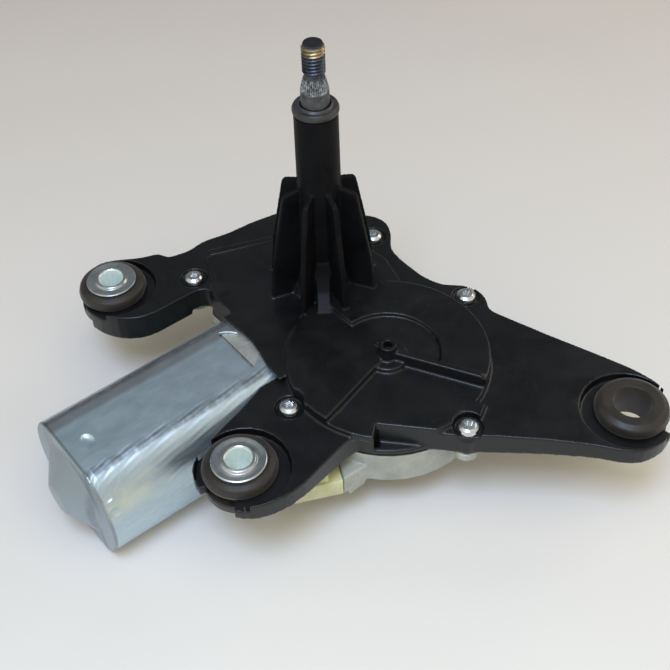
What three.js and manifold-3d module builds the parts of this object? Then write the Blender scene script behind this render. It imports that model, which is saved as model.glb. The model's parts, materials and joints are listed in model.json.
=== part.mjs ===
// Rear-window wiper motor: spindle tube, three rubber mounted bracket arms, worm gearbox and
// reversing linkage. Millimetres. The pieces are drawn from a datum on the wiper shaft axis, level
// with the tops of the mounting bushings; the finished group is lowered by SHAFT_TIP, so that its
// origin is the centre of the flat outer end of the wiper shaft.
// +Z runs up the wiper shaft, +X along the motor from its tail to the gearbox.
import * as THREE from 'three';
import { mergeVertices } from 'three/addons/utils/BufferGeometryUtils.js';
import Module from 'manifold-3d';

const wasm = await Module();
wasm.setup();

// ---------------------------------------------------------------- driving dimensions
const GAP = 0.3;                 // working gap between neighbouring pieces
const ORIGIN = [0, 0];           // wiper shaft axis

const WHEEL = [-7.2, -47.1];     // worm wheel axis
const PIVOT = [-8.0, 26.8];      // toothed quadrant axis
const SCREWS = [[-36.8, 36.8], [33.7, 10.2], [38.7, -40.2], [-48.0, -41.5], [-5.6, -88.5]];
const SCREW_R = 1.9;
const SCREW_HOLE_R = 2.4;
const SCREW_BOSS_R = 4.6;

// The three arms, by the names of their grommets. mount: grommet centre; recess: centre of the
// round recess above it, with its radius; mouth: angles between which the seat opens outwards
const ARMS = {
  front: { mount: [-76.2, -50.7], recess: [-76.0, -52.3], radius: 16.6, mouth: [172, 228] },
  left: { mount: [-63.7, 54.9], recess: [-63.5, 52.6], radius: 15.8, mouth: [148, 186] },
  right: { mount: [45.2, -118.2], recess: [42.9, -118.4], radius: 16.8, mouth: [-78, -22] },
};
const ARM_TOP = -3.0;            // upper face of the bracket arms
const ARM_BOT = -12.5;           // lower edge of the arm skirts

const BODY_TOP = 0.0;            // upper face of the gearbox body
const DISC_TOP = 3.0;            // raised sector over the worm wheel
const DISC_STEP = 1.4;           // middle level of the disc
const SECTOR_TOP = -1.2;         // lowest sector of the disc
const DISC_R = 37.5;
const CUP_R = 35.8;              // wheel chamber below the arms
const ROOM_R = 34.4;
const EDGE_START = [-30.3, -67.9]; // ends of the straight slanting edge beyond the wheel
const EDGE_END = [-10.6, -89.2];
const PARTING = -12.5;           // joint face towards the lower cover
const CEILING = -3.5;            // top of the pockets inside the gearbox

const TUBE_R = 7.7;              // spindle tube
const TUBE_TOP = 79.0;
const FIN_TOP = 47.0;
const FIN_T = 2.1;
const FIN_ANGLES = [211, 256, 301, 346, 31, 76, 121, 166];

const SHAFT_R = 5.0;             // wiper shaft
const SHAFT_LOW = -14.6;
const JOURNAL_R = 4.0;           // thinner lower end that carries the pinion
const KNURL_Z0 = 88.0;
const KNURL_Z1 = 92.4;
const THREAD_R = 3.95;           // M8 x 1.25
const THREAD_Z0 = 93.9;
const THREAD_PITCH = 1.25;
const THREAD_TURNS = 8;
const SHAFT_TIP = 105.2;

const MOTOR_Y = -8.3;            // motor and worm axis
const MOTOR_Z = -23.0;
const AXIS = [MOTOR_Y, MOTOR_Z];
const CAN_R = 26.6;              // two sided round can
const CAN_H = 21.8;              // half height over the flats
const CAN_T = 1.8;
const CAN_X0 = -120.1;           // tail face
const CAN_X1 = -46.7;            // mouth
const BRACKET_X1 = -38.3;        // gearbox side of the end bracket
const BOSS_X = CAN_X0 - 7.4;     // end of the tail bearing boss
const EAR_Y = 9;                 // can ears, each side of the motor axis
const MOTOR_SCREW = [9.6, 7];    // y and z offset of the motor screws from the axis
const ARMATURE_R = 4.0;
const ARMATURE_BORE = ARMATURE_R + GAP;
const CORE_X0 = -104;
const CORE_X1 = -74;

const WORM_ROOT = 4.4;
const WORM_OUT = 6.0;
const WHEEL_TEETH = 60;
const WHEEL_OUT = 34.0;
const WHEEL_ROOT = 32.3;
const WHEEL_Z0 = -27.0;
const WHEEL_Z1 = -19.0;
const MESH_R = 33.3;             // wheel radius at which worm and wheel advance together
const LEAD = (2 * Math.PI * MESH_R) / WHEEL_TEETH;

const PINION_TEETH = 16;         // 2.5 : 1 with the quadrant
const QUAD_TEETH = 40;
const GEAR_MODULE = 1.0;
const QUAD_Z0 = -13.5;
const QUAD_Z1 = -10.3;
const LEVER = 20.5;              // quadrant axis to rod pin
const LEVER_ANGLE = 212;
const ROD_L = 65.5;
const CRANK_R = 7.9;
const ROD_Z0 = -16.3;
const ROD_Z1 = -13.9;
const AXLE_R = 3.0;              // quadrant pin and wheel axle
const AXLE_BORE = AXLE_R + GAP;
const ROD_PIN_R = 2.2;
const ROD_PIN_BORE = ROD_PIN_R + GAP;
const CRANK_PIN_R = 2.3;

const COVER_BOT = -31.6;
const COVER_FLOOR = -29.9;
const COVER_TOP = PARTING - 0.9;
const EAR_BOT = -16.6;           // underside of the screw ears of the cover

// ---------------------------------------------------------------- finishes
const BLACK = { color: 0x1d1e21, roughness: 0.5, metalness: 0 };
const NYLON = { color: 0xe4e5e0, roughness: 0.45, metalness: 0 };
const PALE = { color: 0xd6dabd, roughness: 0.5, metalness: 0 };
const RUBBER = { color: 0x37322d, roughness: 0.75, metalness: 0 };
const ZINC = { color: 0xb4bcc2, roughness: 0.32, metalness: 1 };
const STEEL = { color: 0x8d9196, roughness: 0.35, metalness: 1 };
const DARKSTEEL = { color: 0x55575a, roughness: 0.4, metalness: 1 };
const COPPER = { color: 0xb8693c, roughness: 0.35, metalness: 1 };
const BRASS = { color: 0xc6a557, roughness: 0.35, metalness: 1 };
const BRONZE = { color: 0x9a7a4c, roughness: 0.5, metalness: 1 };
const FERRITE = { color: 0x3a3b3e, roughness: 0.7, metalness: 0 };
const CARBON = { color: 0x2a2a2c, roughness: 0.7, metalness: 0 };
const POM = { color: 0xd9d5c6, roughness: 0.45, metalness: 0 };
const HOLDER = { color: 0x8f8b80, roughness: 0.6, metalness: 0 };
const GASKET = { color: 0x2b2a29, roughness: 0.8, metalness: 0 };

// ---------------------------------------------------------------- points and outlines
const DEG = Math.PI / 180;

const polar = (radius, angle, centre = ORIGIN) => [
  centre[0] + radius * Math.cos(angle * DEG),
  centre[1] + radius * Math.sin(angle * DEG),
];
const midpoint = (start, end) => [(start[0] + end[0]) / 2, (start[1] + end[1]) / 2];
const angleOf = (from, to) => Math.atan2(to[1] - from[1], to[0] - from[0]) / DEG;

function arc(centre, radius, from, to, steps) {
  const points = [];
  for (let i = 0; i <= steps; i++) {
    points.push(polar(radius, from + ((to - from) * i) / steps, centre));
  }
  return points;
}

// every corner replaced by a two step curve; reach(corner, before, after) gives the distance from
// the corner at which the curve starts, 0 to keep the corner sharp
function curveCorners(outline, reach) {
  return outline.flatMap((corner, i) => {
    const before = outline[(i + outline.length - 1) % outline.length];
    const after = outline[(i + 1) % outline.length];
    const length = reach(corner, before, after);
    if (length === 0) return [corner];
    const towards = (point) => {
      const size = Math.hypot(point[0] - corner[0], point[1] - corner[1]);
      return [0, 1].map((k) => corner[k] + ((point[k] - corner[k]) * length) / size);
    };
    const start = towards(before);
    const end = towards(after);
    const middle = [0, 1].map((k) => 0.25 * start[k] + 0.5 * corner[k] + 0.25 * end[k]);
    return [start, middle, end];
  });
}
const distance = (start, end) => Math.hypot(end[0] - start[0], end[1] - start[1]);

// corners rounded to a radius; nearly straight corners stay
function fillet(outline, radius) {
  return curveCorners(outline, (corner, before, after) => {
    const toBefore = new THREE.Vector2(before[0] - corner[0], before[1] - corner[1]).normalize();
    const toAfter = new THREE.Vector2(after[0] - corner[0], after[1] - corner[1]).normalize();
    const half = Math.acos(THREE.MathUtils.clamp(toBefore.dot(toAfter), -1, 1)) / 2;
    const length = Math.min(radius / Math.tan(half),
      distance(corner, before) * 0.45, distance(corner, after) * 0.45);
    return length < 0.05 || half > 86 * DEG ? 0 : length;
  });
}

// corners softened from a set distance on
const soften = (outline, length) => curveCorners(outline, (corner, before, after) =>
  Math.min(length, 0.46 * distance(corner, before), 0.46 * distance(corner, after)));

// two sided round outline of the motor can in (y, z), moved inwards by inset
function canOutline(inset, steps = 9) {
  const radius = CAN_R - inset;
  const half = Math.asin((CAN_H - inset) / radius) / DEG;
  return [
    ...arc(AXIS, radius, -half, half, steps),
    ...arc(AXIS, radius, 180 - half, 180 + half, steps),
  ];
}

// straight sided teeth; the half widths are fractions of the tooth pitch
function toothOutline({
  teeth, root, tip, rootHalf, tipHalf, phase, centre = ORIGIN, first = 0, count = teeth,
}) {
  const points = [];
  const pitch = 360 / teeth;
  for (let i = first; i < first + count; i++) {
    const angle = phase + i * pitch;
    points.push(
      polar(root, angle - rootHalf * pitch, centre), polar(tip, angle - tipHalf * pitch, centre),
      polar(tip, angle + tipHalf * pitch, centre), polar(root, angle + rootHalf * pitch, centre));
  }
  return points;
}

// ---------------------------------------------------------------- solids
// closed, outward facing solid from a triangle mesh
function solid(geometry) {
  const bare = geometry.index ? geometry.toNonIndexed() : geometry;
  bare.deleteAttribute('normal');
  bare.deleteAttribute('uv');
  const welded = mergeVertices(bare, 1e-4);
  const points = welded.attributes.position.array;
  const index = welded.index.array;
  const vertex = (i) => new THREE.Vector3().fromArray(points, 3 * i);
  const triangles = [];
  let volume = 0;
  for (let i = 0; i < index.length; i += 3) {
    const [one, two, three] = index.slice(i, i + 3);
    if (one === two || two === three || one === three) continue;
    triangles.push(one, two, three);
    volume += vertex(one).dot(vertex(two).cross(vertex(three)));
  }
  if (volume < 0) {
    for (let i = 0; i < triangles.length; i += 3) {
      [triangles[i], triangles[i + 1]] = [triangles[i + 1], triangles[i]];
    }
  }
  return new wasm.Manifold(new wasm.Mesh({
    numProp: 3,
    vertProperties: new Float32Array(points),
    triVerts: new Uint32Array(triangles),
  }));
}
const union = (parts) => parts.reduce((whole, part) => whole.add(part));

// turned pieces; a profile lists [radius, distance along the axis]
function latheGeometry(profile, fineness) {
  const facets = 2 * Math.max(6, Math.round(fineness * 0.31));
  return new THREE.LatheGeometry(profile.map((point) => new THREE.Vector2(...point)), facets);
}
function lathe(profile, fineness, centre = ORIGIN) {
  const geometry = latheGeometry(profile, fineness);
  geometry.rotateX(Math.PI / 2);
  geometry.translate(centre[0], centre[1], 0);
  return solid(geometry);
}
function latheX(profile, fineness, [y, z] = AXIS) {
  const geometry = latheGeometry(profile, fineness);
  geometry.rotateZ(-Math.PI / 2);
  geometry.translate(0, y, z);
  return solid(geometry);
}
const diskProfile = (radius, low, high) => [[0, low], [radius, low], [radius, high], [0, high]];
const ringProfile = (inner, outer, low, high) =>
  [[inner, low], [outer, low], [outer, high], [inner, high], [inner, low]];
const ring = (inner, outer, z0, z1, centre, fineness) =>
  lathe(ringProfile(inner, outer, z0, z1), fineness, centre);
const ringX = (inner, outer, x0, x1, fineness) =>
  latheX(ringProfile(inner, outer, x0, x1), fineness);
const cylinder = (radius, z0, z1, centre, fineness) =>
  lathe(diskProfile(radius, z0, z1), fineness, centre);
const cylinderX = (radius, x0, x1, fineness, axis) =>
  latheX(diskProfile(radius, x0, x1), fineness, axis);

function box(x0, x1, y0, y1, z0, z1) {
  const geometry = new THREE.BoxGeometry(x1 - x0, y1 - y0, z1 - z0);
  geometry.translate((x0 + x1) / 2, (y0 + y1) / 2, (z0 + z1) / 2);
  return solid(geometry);
}
// box above (side 1) or below (side -1) the motor axis, between two distances from it
function sideBox(side, x0, x1, y, halfWidth, near, far) {
  const ends = [MOTOR_Z + side * near, MOTOR_Z + side * far];
  return box(x0, x1, y - halfWidth, y + halfWidth, Math.min(...ends), Math.max(...ends));
}
// box turned about Z
function bar(centre, length, width, z0, z1, angle) {
  const geometry = new THREE.BoxGeometry(length, width, z1 - z0);
  geometry.rotateZ(angle * DEG);
  geometry.translate(centre[0], centre[1], (z0 + z1) / 2);
  return solid(geometry);
}

const shapeOf = (outline) => new THREE.Shape(outline.map(([x, y]) => new THREE.Vector2(x, y)));
const extrude = (outline, depth, steps = 1) =>
  new THREE.ExtrudeGeometry(shapeOf(outline), { depth, steps, bevelEnabled: false });
function prism(outline, z0, z1) {
  const geometry = extrude(outline, z1 - z0);
  geometry.translate(0, 0, z0);
  return solid(geometry);
}
// prism along X from a (y, z) outline
function prismX(outline, x0, x1) {
  const geometry = extrude(outline, x1 - x0);
  geometry.rotateY(Math.PI / 2);
  geometry.rotateX(Math.PI / 2);
  geometry.translate(x0, 0, 0);
  return solid(geometry);
}
// upright web of a (distance, z) outline that starts at centre and runs in direction angle
function web(centre, angle, outline, width) {
  const geometry = extrude(outline, width);
  geometry.translate(0, 0, -width / 2);
  geometry.rotateX(Math.PI / 2);
  geometry.rotateZ(angle * DEG);
  geometry.translate(centre[0], centre[1], 0);
  return solid(geometry);
}
const sector = (centre, radius, from, to, z0, z1, steps) =>
  prism([centre, ...arc(centre, radius, from, to, steps)], z0, z1);

// moves each vertex to the point that move(x, y, z) gives
function reshape(geometry, move) {
  const position = geometry.attributes.position;
  for (let i = 0; i < position.count; i++) {
    position.setXYZ(i, ...move(position.getX(i), position.getY(i), position.getZ(i)));
  }
}

const group = new THREE.Group();
group.name = 'wiper_motor_assembly';

function put(name, shape, finish) {
  const { vertProperties, triVerts } = shape.simplify(0.012).getMesh();
  const geometry = new THREE.BufferGeometry();
  geometry.setAttribute('position', new THREE.BufferAttribute(new Float32Array(vertProperties), 3));
  geometry.setIndex(new THREE.BufferAttribute(new Uint32Array(triVerts), 1));
  geometry.computeVertexNormals();
  const mesh = new THREE.Mesh(geometry, new THREE.MeshStandardMaterial(finish));
  mesh.name = name;
  group.add(mesh);
}

// ---------------------------------------------------------------- shared by housing and cover
// block that carries the motor and the bearing at the gearbox end of the can
const motorBlock = (x0, x1, z0, z1, grow = 0) =>
  box(x0, x1, MOTOR_Y - 11.8 - grow, MOTOR_Y + 15.9 + grow, z0, z1);
// block of the end bearing of the worm
const endBlock = (z0, z1, grow = 0) =>
  box(10.4 - grow, 17.2 + grow, MOTOR_Y - 8 - grow, MOTOR_Y + 8 + grow, z0, z1);
// axis of a motor screw: side -1 is lower and towards -Y, side 1 higher and towards +Y
const motorScrewAxis = (side) =>
  [MOTOR_Y + side * MOTOR_SCREW[0], MOTOR_Z + side * MOTOR_SCREW[1]];

// ---------------------------------------------------------------- gear housing
// plan of the gearbox and its three arms, counter-clockwise: x, y
const PLATE = [
  [33.2, -8], [34.5, 0], [41, 7], [43.8, 13], [43, 19], [38.5, 24.8], [15, 47.5], [0, 50.2],
  [-10, 50.6], [-22.5, 53.3], [-28.5, 51.8], [-38.3, 54], [-39.5, 58.6], [-46.5, 60.9], [-56, 67],
  [-61, 69], [-67, 67.8], [-74, 62], [-78, 53], [-76.5, 44], [-72.5, 37], [-66, 31.8],
  [-59, 30.2], [-50, 30.4], [-39, 30.2], [-35.6, 27.5], [-38, 21], [-38, -24], [-46, -24.5],
  [-50, -27], [-61.5, -31], [-72.5, -34], [-80, -36.3], [-86, -38.5], [-90.5, -42.5],
  [-91.5, -47], [-91, -56], [-88, -63], [-84, -67.5], [-79, -70], [-72, -71.6], [-64, -71.2],
  [-53, -68.6], [-42, -66.3], [-33.5, -66.8], EDGE_START, EDGE_END, [-0.5, -98], [12.5, -111],
  [22.5, -122.3], [27, -129], [33, -134.5], [42, -136], [52, -132.5], [58, -126], [60.6, -117],
  [59, -107], [54.5, -93.3], [47.8, -74.7], [41.4, -55], [40.5, -51], [44, -46], [44.9, -40],
  [41.8, -34.5], [36, -29.5], [33.4, -21],
];
// upper step of the gearbox body: x, y
const BODY_PLAN = [
  [-38, 21], [-38, -28], [-40, -49], [-33.5, -66.5], [-22, -60], [20, -30], [27, -6],
  [24.5, 17], [12, 31], [-1, 32.5], [-27.5, 41.5],
];
const LEDGE_PLAN = [[-25.2, 42.5], [0, 33], [1.4, 36.2], [-23.8, 46]];
// outer walls down to the joint face, and the linkage chamber inside them: x, y
const WALL_PLAN = [
  [-38, 22.5], [-38, -24], [33, -24], [28.2, -8], [27.4, 7], [18, 26], [5.4, 37.8], [-19, 41],
  [-31, 33.5],
];
const LINK_ROOM = [
  [-35.8, -22], [14, -22], [26, -8], [25, 6], [16, 24], [4, 35.6], [-18, 38.5], [-29, 31],
  [-35.8, 22],
];
// hollows below the arms. depth: how far each starts below the skirt edge; outline: x, y
const HOLLOWS = [
  { radius: 1, depth: 1, outline: [[-60.5, -34], [-53.5, -31.5], [-57, -37.5]] },
  { radius: 1.5, depth: 1, outline: [
    [-45.5, -62], [-52, -48.5], [-58, -54], [-58.4, -66.5], [-46.4, -64.4]] },
  { radius: 1, depth: 3, outline: [
    [-36.5, 33], [-45.5, 33], [-46, 40], [-45.2, 58], [-41.8, 57], [-41, 52], [-30, 48],
    [-27, 45.5], [-34, 43.5], [-42.2, 42], [-42.5, 36]] },
  { radius: 1, depth: 1, outline: [
    [-24, 50], [-10, 47.6], [0, 47.4], [14, 44.8], [24, 35], [18.5, 30.5], [6.5, 41],
    [-18, 44]] },
  { radius: 1.5, depth: 1, outline: [
    [2, -90.5], [7, -86], [28.8, -69], [40, -63], [45.8, -76], [52, -94], [51, -97.5],
    [36, -98.5], [25.3, -105], [21.5, -116], [13.2, -107]] },
];
// ribs left standing in the hollows: centre, length, angle
const HOLLOW_RIBS = [
  [[30, -78], 70, -62], [[17, -92], 60, -62], [[4, 44], 20, 80], [[-39, 44], 30, 75],
  [[-55, -54], 30, 30],
];
// spindle tube with its foot: radius, z
const TUBE_PROFILE = [
  [0, -6], [13, -6], [13, 1], [11.2, 4], [9.4, 10], [8.6, 20], [TUBE_R + 0.25, 48],
  [TUBE_R, TUBE_TOP], [0, TUBE_TOP],
];
// bore of the spindle tube with its two bush seats: radius, z
const TUBE_BORE = [
  [0, -11], [7.0, -11], [7.0, 3.4], [5.6, 3.4], [5.6, 62.6], [6.6, 62.6], [6.6, TUBE_TOP + 1],
  [0, TUBE_TOP + 1],
];
// fins and gusset round the tube: distance from the shaft axis, z
const FIN_PROFILE = [
  [4, -2], [23.5, -2], [21.6, 1.0], [20.9, 7], [20.0, 17.5], [14.5, FIN_TOP - 0.9],
  [13.5, FIN_TOP], [4, FIN_TOP + 2.2],
];
const GUSSET_PROFILE = [
  [3, -2], [29, -2], [20, 1.5], [14, 6.5], [11, 12], [9.4, 16.6], [3, 16.6],
];

function armPlate() {
  const plan = soften(PLATE, 3.2);
  // deeper skirt under the outer half of the left arm
  const skirt = prism(plan, ARM_BOT - 2, ARM_BOT + 0.5).intersect(box(-90, -43, 30, 80, -20, 0));
  return prism(plan, ARM_BOT, ARM_TOP).add(skirt);
}

function addGearbox(plate) {
  let body = plate.add(prism(fillet(BODY_PLAN, 1.6), ARM_TOP - 1, BODY_TOP));
  body = body.add(prism(LEDGE_PLAN, ARM_TOP - 1, -1.5));
  // round wheel chamber and the disc over it, in three levels
  body = body.add(cylinder(CUP_R, PARTING, ARM_TOP, WHEEL, 64));
  body = body.add(cylinder(DISC_R, ARM_TOP - 1.4, ARM_TOP + 0.4, WHEEL, 72));
  body = body.add(sector(WHEEL, DISC_R, 195, 93, ARM_TOP, DISC_STEP, 14));
  body = body.add(sector(WHEEL, DISC_R, -62, 93, ARM_TOP, DISC_TOP, 22));
  body = body.add(prism(fillet(WALL_PLAN, 1.5), PARTING, ARM_TOP));
  // lowest sector, on the side of the slanting edge
  body = body.subtract(sector(WHEEL, DISC_R + 1.6, 195.5, 297, SECTOR_TOP, DISC_TOP + 2, 14));
  body = body.add(sector(WHEEL, DISC_R, 194, 299, ARM_TOP, SECTOR_TOP, 14));
  // round recess in the raised sector
  body = body.subtract(ring(6.9, 19.4, DISC_STEP, DISC_TOP + 1, WHEEL, 48)
    .subtract(sector(WHEEL, 40, 95, 297, 0, 5, 12)));
  // cut off straight along the slanting edge, above a low crescent ledge
  const beyondEdge = ([x, y]) => [x - 9, y - 8.3];
  body = body.subtract(prism(
    [EDGE_START, EDGE_END, beyondEdge(EDGE_END), beyondEdge(EDGE_START)], -10.4, 6));
  // radial rib, centre boss and its collar
  const ribAngle = -60.5;
  body = body.add(
    bar(polar(19.5, ribAngle, WHEEL), 33, 2.4, ARM_TOP - 1, DISC_TOP + 0.9, ribAngle));
  body = body.add(cylinder(7.4, -5, SECTOR_TOP + 1.8, WHEEL, 32));
  body = body.add(ring(1.7, 3.4, -2, 6.5, WHEEL, 24));
  // pad beside the last cover screw
  body = body.add(bar([0.4, -83.6], 8.5, 6.2, ARM_TOP - 1, -1.0, -61));
  return body.add(union(SCREWS.map((at) => cylinder(SCREW_BOSS_R, PARTING, -6, at, 20))));
}

function addTubeAndBlocks(gearbox) {
  let body = gearbox.add(lathe(TUBE_PROFILE, 40));
  for (const angle of FIN_ANGLES) body = body.add(web(ORIGIN, angle, FIN_PROFILE, FIN_T));
  // sloping gusset between two fins
  body = body.add(web(ORIGIN, 233, GUSSET_PROFILE, 5.4));
  return body.add(motorBlock(-38, -32.4, -33.4, -4)).add(endBlock(-29.5, -5));
}

function cutChambers(solidBody) {
  // stays solid along the slanting edge
  const edgeWall = prism([
    [EDGE_START[0] - 6.8 + 1.5, EDGE_START[1] + 7.3 + 1.4],
    [EDGE_END[0] + 6.8 + 1.5, EDGE_END[1] - 7.3 + 1.4],
    [EDGE_END[0] - 6, EDGE_END[1] - 20],
    [EDGE_START[0] - 22, EDGE_START[1] - 3],
  ], -12, 0);
  let body = solidBody.subtract(
    cylinder(ROOM_R, PARTING - 1, CEILING, WHEEL, 64).subtract(edgeWall));
  body = body.subtract(sector(WHEEL, ROOM_R, -56, 90, -5, -0.6, 20));
  // the linkage chamber leaves the blocks, the shaft and pivot bosses and two ribs standing
  body = body.subtract(prism(fillet(LINK_ROOM, 2), PARTING - 1, CEILING)
    .subtract(motorBlock(-40, -32.4, -40, 0)).subtract(endBlock(-40, 0))
    .subtract(cylinder(8.8, -9.0, 0, ORIGIN, 32)).subtract(cylinder(6.0, -9.9, 0, PIVOT, 28))
    .subtract(bar([8, -3], 14, 2, -8.6, 0, -20)).subtract(bar([-9, 5], 12, 2, -8.6, 0, 145)));
  // boss of the wheel axle above the chamber and a rib across the ceiling
  return body.add(cylinder(5.4, -9, CEILING + 0.5, WHEEL, 26))
    .add(bar(WHEEL, 2 * ROOM_R + 0.6, 1.8, -6.4, CEILING + 0.5, 20));
}

// everything cut away round the land that fills the groove of a grommet
const grommetSeat = ({ mount, recess, radius, mouth }) => union([
  cylinder(radius, -6.3, ARM_TOP + 1, recess, 38),
  cylinder(14.6, ARM_BOT - 3, -10.2, mount, 29),
  cylinder(10.6, -15, 0, mount, 29),
  sector(mount, 26, ...mouth, -15, 0, 4),
]);

function cutArms(uncut) {
  let hollows = union(HOLLOWS.map(({ outline, radius, depth }) =>
    prism(fillet(outline, radius), ARM_BOT - depth, -6)));
  for (const [centre, length, angle] of HOLLOW_RIBS) {
    hollows = hollows.subtract(bar(centre, length, 2, -20, 0, angle));
  }
  let body = uncut.subtract(hollows);
  // the skirts of the front and right arms get shallower towards their grommets
  body = body.subtract(web([0, -50], 180,
    [[46, -20], [46, ARM_BOT - 0.1], [66, -10.3], [100, -10.3], [100, -20]], 60));
  body = body.subtract(web(WHEEL, -53.6,
    [[45, -20], [45, ARM_BOT - 0.1], [80, -10.2], [120, -10.2], [120, -20]], 90));
  for (const arm of Object.values(ARMS)) body = body.subtract(grommetSeat(arm));
  // wells and holes of the cover screws
  body = body.subtract(union(SCREWS.map((at) => cylinder(5.4, -4.2, 4, at, 23))));
  for (const at of SCREWS) body = body.subtract(cylinder(SCREW_HOLE_R, -16, 4, at, 16));
  // notch in the skirt beside the start of the slanting edge
  return body.subtract(bar([-31.6, -68.6], 3.2, 3.0, -16, -4.6, -25));
}

function cutBores(uncut) {
  // room for the can and the end bracket
  let body = uncut.subtract(prismX(canOutline(-0.8), -140, BRACKET_X1 + GAP)
    .subtract(cylinder(CUP_R, PARTING - 1, 2, WHEEL, 64)));
  // bearing seats of the armature
  body = body.subtract(latheX(
    [[0, -40], [7.3, -40], [7.3, -33.9], [5.3, -33.9], [5.3, -31], [0, -31]], 28));
  body = body.subtract(cylinderX(6.3, 9, 15.6, 28));
  for (const side of [-1, 1]) {
    body = body.subtract(cylinderX(1.6, -40, -33.2, 14, motorScrewAxis(side)));
  }
  body = body.subtract(lathe(TUBE_BORE, 36));
  // seat of the quadrant pin
  return body.subtract(cylinder(AXLE_BORE, -11, -2.4, PIVOT, 24));
}

const housing = () => cutBores(cutArms(cutChambers(addTubeAndBlocks(addGearbox(armPlate())))));
put('gear_housing', housing().simplify(0.1), BLACK);

// ---------------------------------------------------------------- wiper shaft and its bearings
function wiperShaft() {
  const root = THREAD_R - 0.72;
  const neck = THREAD_R - 0.75;
  const threadEnd = THREAD_Z0 + THREAD_TURNS * THREAD_PITCH;
  const ridges = [];
  for (let i = 0; i < THREAD_TURNS; i++) {
    const z = THREAD_Z0 + i * THREAD_PITCH;
    ridges.push([root, z], [THREAD_R, z + 0.62]);
  }
  const core = lathe([
    [0, SHAFT_LOW], [3.6, SHAFT_LOW], [JOURNAL_R, SHAFT_LOW + 0.4], [JOURNAL_R, -9.9],
    [SHAFT_R, -9.9], [SHAFT_R, KNURL_Z0 - 0.6], [SHAFT_R - 0.6, KNURL_Z0],
    [THREAD_R - 0.3, KNURL_Z1], [neck, KNURL_Z1 + 0.3], [neck, THREAD_Z0 - 0.1], ...ridges,
    [root, threadEnd], [THREAD_R - 0.35, threadEnd + 0.45], [THREAD_R - 0.45, SHAFT_TIP - 0.45],
    [neck, SHAFT_TIP], [0, SHAFT_TIP],
  ], 28);

  const knurlOutline = toothOutline({
    teeth: 24, root: SHAFT_R - 0.42, tip: SHAFT_R, rootHalf: 0.36, tipHalf: 0.1, phase: 0,
  });
  const knurl = extrude(knurlOutline, KNURL_Z1 - KNURL_Z0 - 0.1);
  reshape(knurl, (x, y, z) => {
    const taper = 1 - 0.2 * (z / (KNURL_Z1 - KNURL_Z0));
    return [x * taper, y * taper, z];
  });
  knurl.translate(0, 0, KNURL_Z0 - 0.3);
  return core.add(solid(knurl));
}
put('wiper_shaft', wiperShaft(), DARKSTEEL);
put('upper_bush', ring(SHAFT_R + 0.15, 6.3, 63, 75, ORIGIN, 32), BRONZE);
put('lower_bush', ring(SHAFT_R + 0.15, 6.7, -8.7, 3, ORIGIN, 32), BRONZE);
put('shaft_seal', lathe(
  [[5.2, 75.5], [6.3, 75.5], [6.3, 78.3], [5.9, 78.6], [5.2, 77.6], [5.2, 75.5]], 32), RUBBER);
put('tube_cap', lathe([
  [5.3, TUBE_TOP + 0.3], [8.25, TUBE_TOP + 0.3], [8.25, TUBE_TOP + 1.3], [7.8, TUBE_TOP + 2.5],
  [6.2, TUBE_TOP + 2.6], [5.3, TUBE_TOP + 3.5], [5.3, TUBE_TOP + 0.3],
], 38), BLACK);
put('thrust_washer', ring(SHAFT_R + GAP, 7.6, -9.8, -9.3, ORIGIN, 28), STEEL);

// ---------------------------------------------------------------- pinion, quadrant and linkage
const PINION_ANGLE = angleOf(PIVOT, ORIGIN);   // direction from the quadrant axis to the shaft
const ROD_PIN = polar(LEVER, LEVER_ANGLE, PIVOT);
const CRANK_PIN = findCrankPin();

// crank pin place that closes the linkage with the quadrant in mid swing
function findCrankPin() {
  let best = 0;
  let smallest = Infinity;
  for (let sweep = 0; sweep < 180; sweep += 0.01) {
    const pin = polar(CRANK_R, sweep - 110, WHEEL);
    const error = Math.abs(distance(pin, ROD_PIN) - ROD_L);
    if (error < smallest) {
      smallest = error;
      best = sweep - 110;
    }
  }
  return polar(CRANK_R, best, WHEEL);
}

// tooth outline shared by pinion and quadrant
function spurOutline(teeth, options) {
  const pitchRadius = (GEAR_MODULE * teeth) / 2;
  return toothOutline({
    teeth, root: pitchRadius - 1.25, tip: pitchRadius + 0.8, rootHalf: 0.3, tipHalf: 0.12,
    ...options,
  });
}

function outputPinion() {
  // a tooth gap of the pinion looks at the quadrant axis
  const phase = PINION_ANGLE + 180 + 180 / PINION_TEETH;
  return prism(spurOutline(PINION_TEETH, { phase }), QUAD_Z0 - 0.2, QUAD_Z1 + 0.2)
    .subtract(cylinder(JOURNAL_R + GAP, -20, 0, ORIGIN, 28));
}

function toothedQuadrant() {
  const count = 9;
  const half = ((count / 2) * 360) / QUAD_TEETH;
  const teeth = spurOutline(QUAD_TEETH, {
    phase: PINION_ANGLE, centre: PIVOT, first: -(count - 1) / 2, count,
  });
  const fan = [
    polar(5.2, PINION_ANGLE - half - 12, PIVOT), ...teeth,
    polar(5.2, PINION_ANGLE + half + 12, PIVOT), PIVOT,
  ];
  return prism(fan, QUAD_Z0, QUAD_Z1)
    .add(cylinder(5.8, QUAD_Z0, QUAD_Z1, PIVOT, 28))
    .add(cylinder(4.2, QUAD_Z0, QUAD_Z1, ROD_PIN, 24))
    .add(bar(midpoint(ROD_PIN, PIVOT), LEVER, 7.2, QUAD_Z0, QUAD_Z1, LEVER_ANGLE))
    // round window in the fan
    .subtract(cylinder(2.6, -20, 0, polar(10.8, PINION_ANGLE, PIVOT), 18))
    .subtract(cylinder(AXLE_BORE, -20, 0, PIVOT, 24))
    .subtract(cylinder(ROD_PIN_BORE, -20, 0, ROD_PIN, 20));
}

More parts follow.
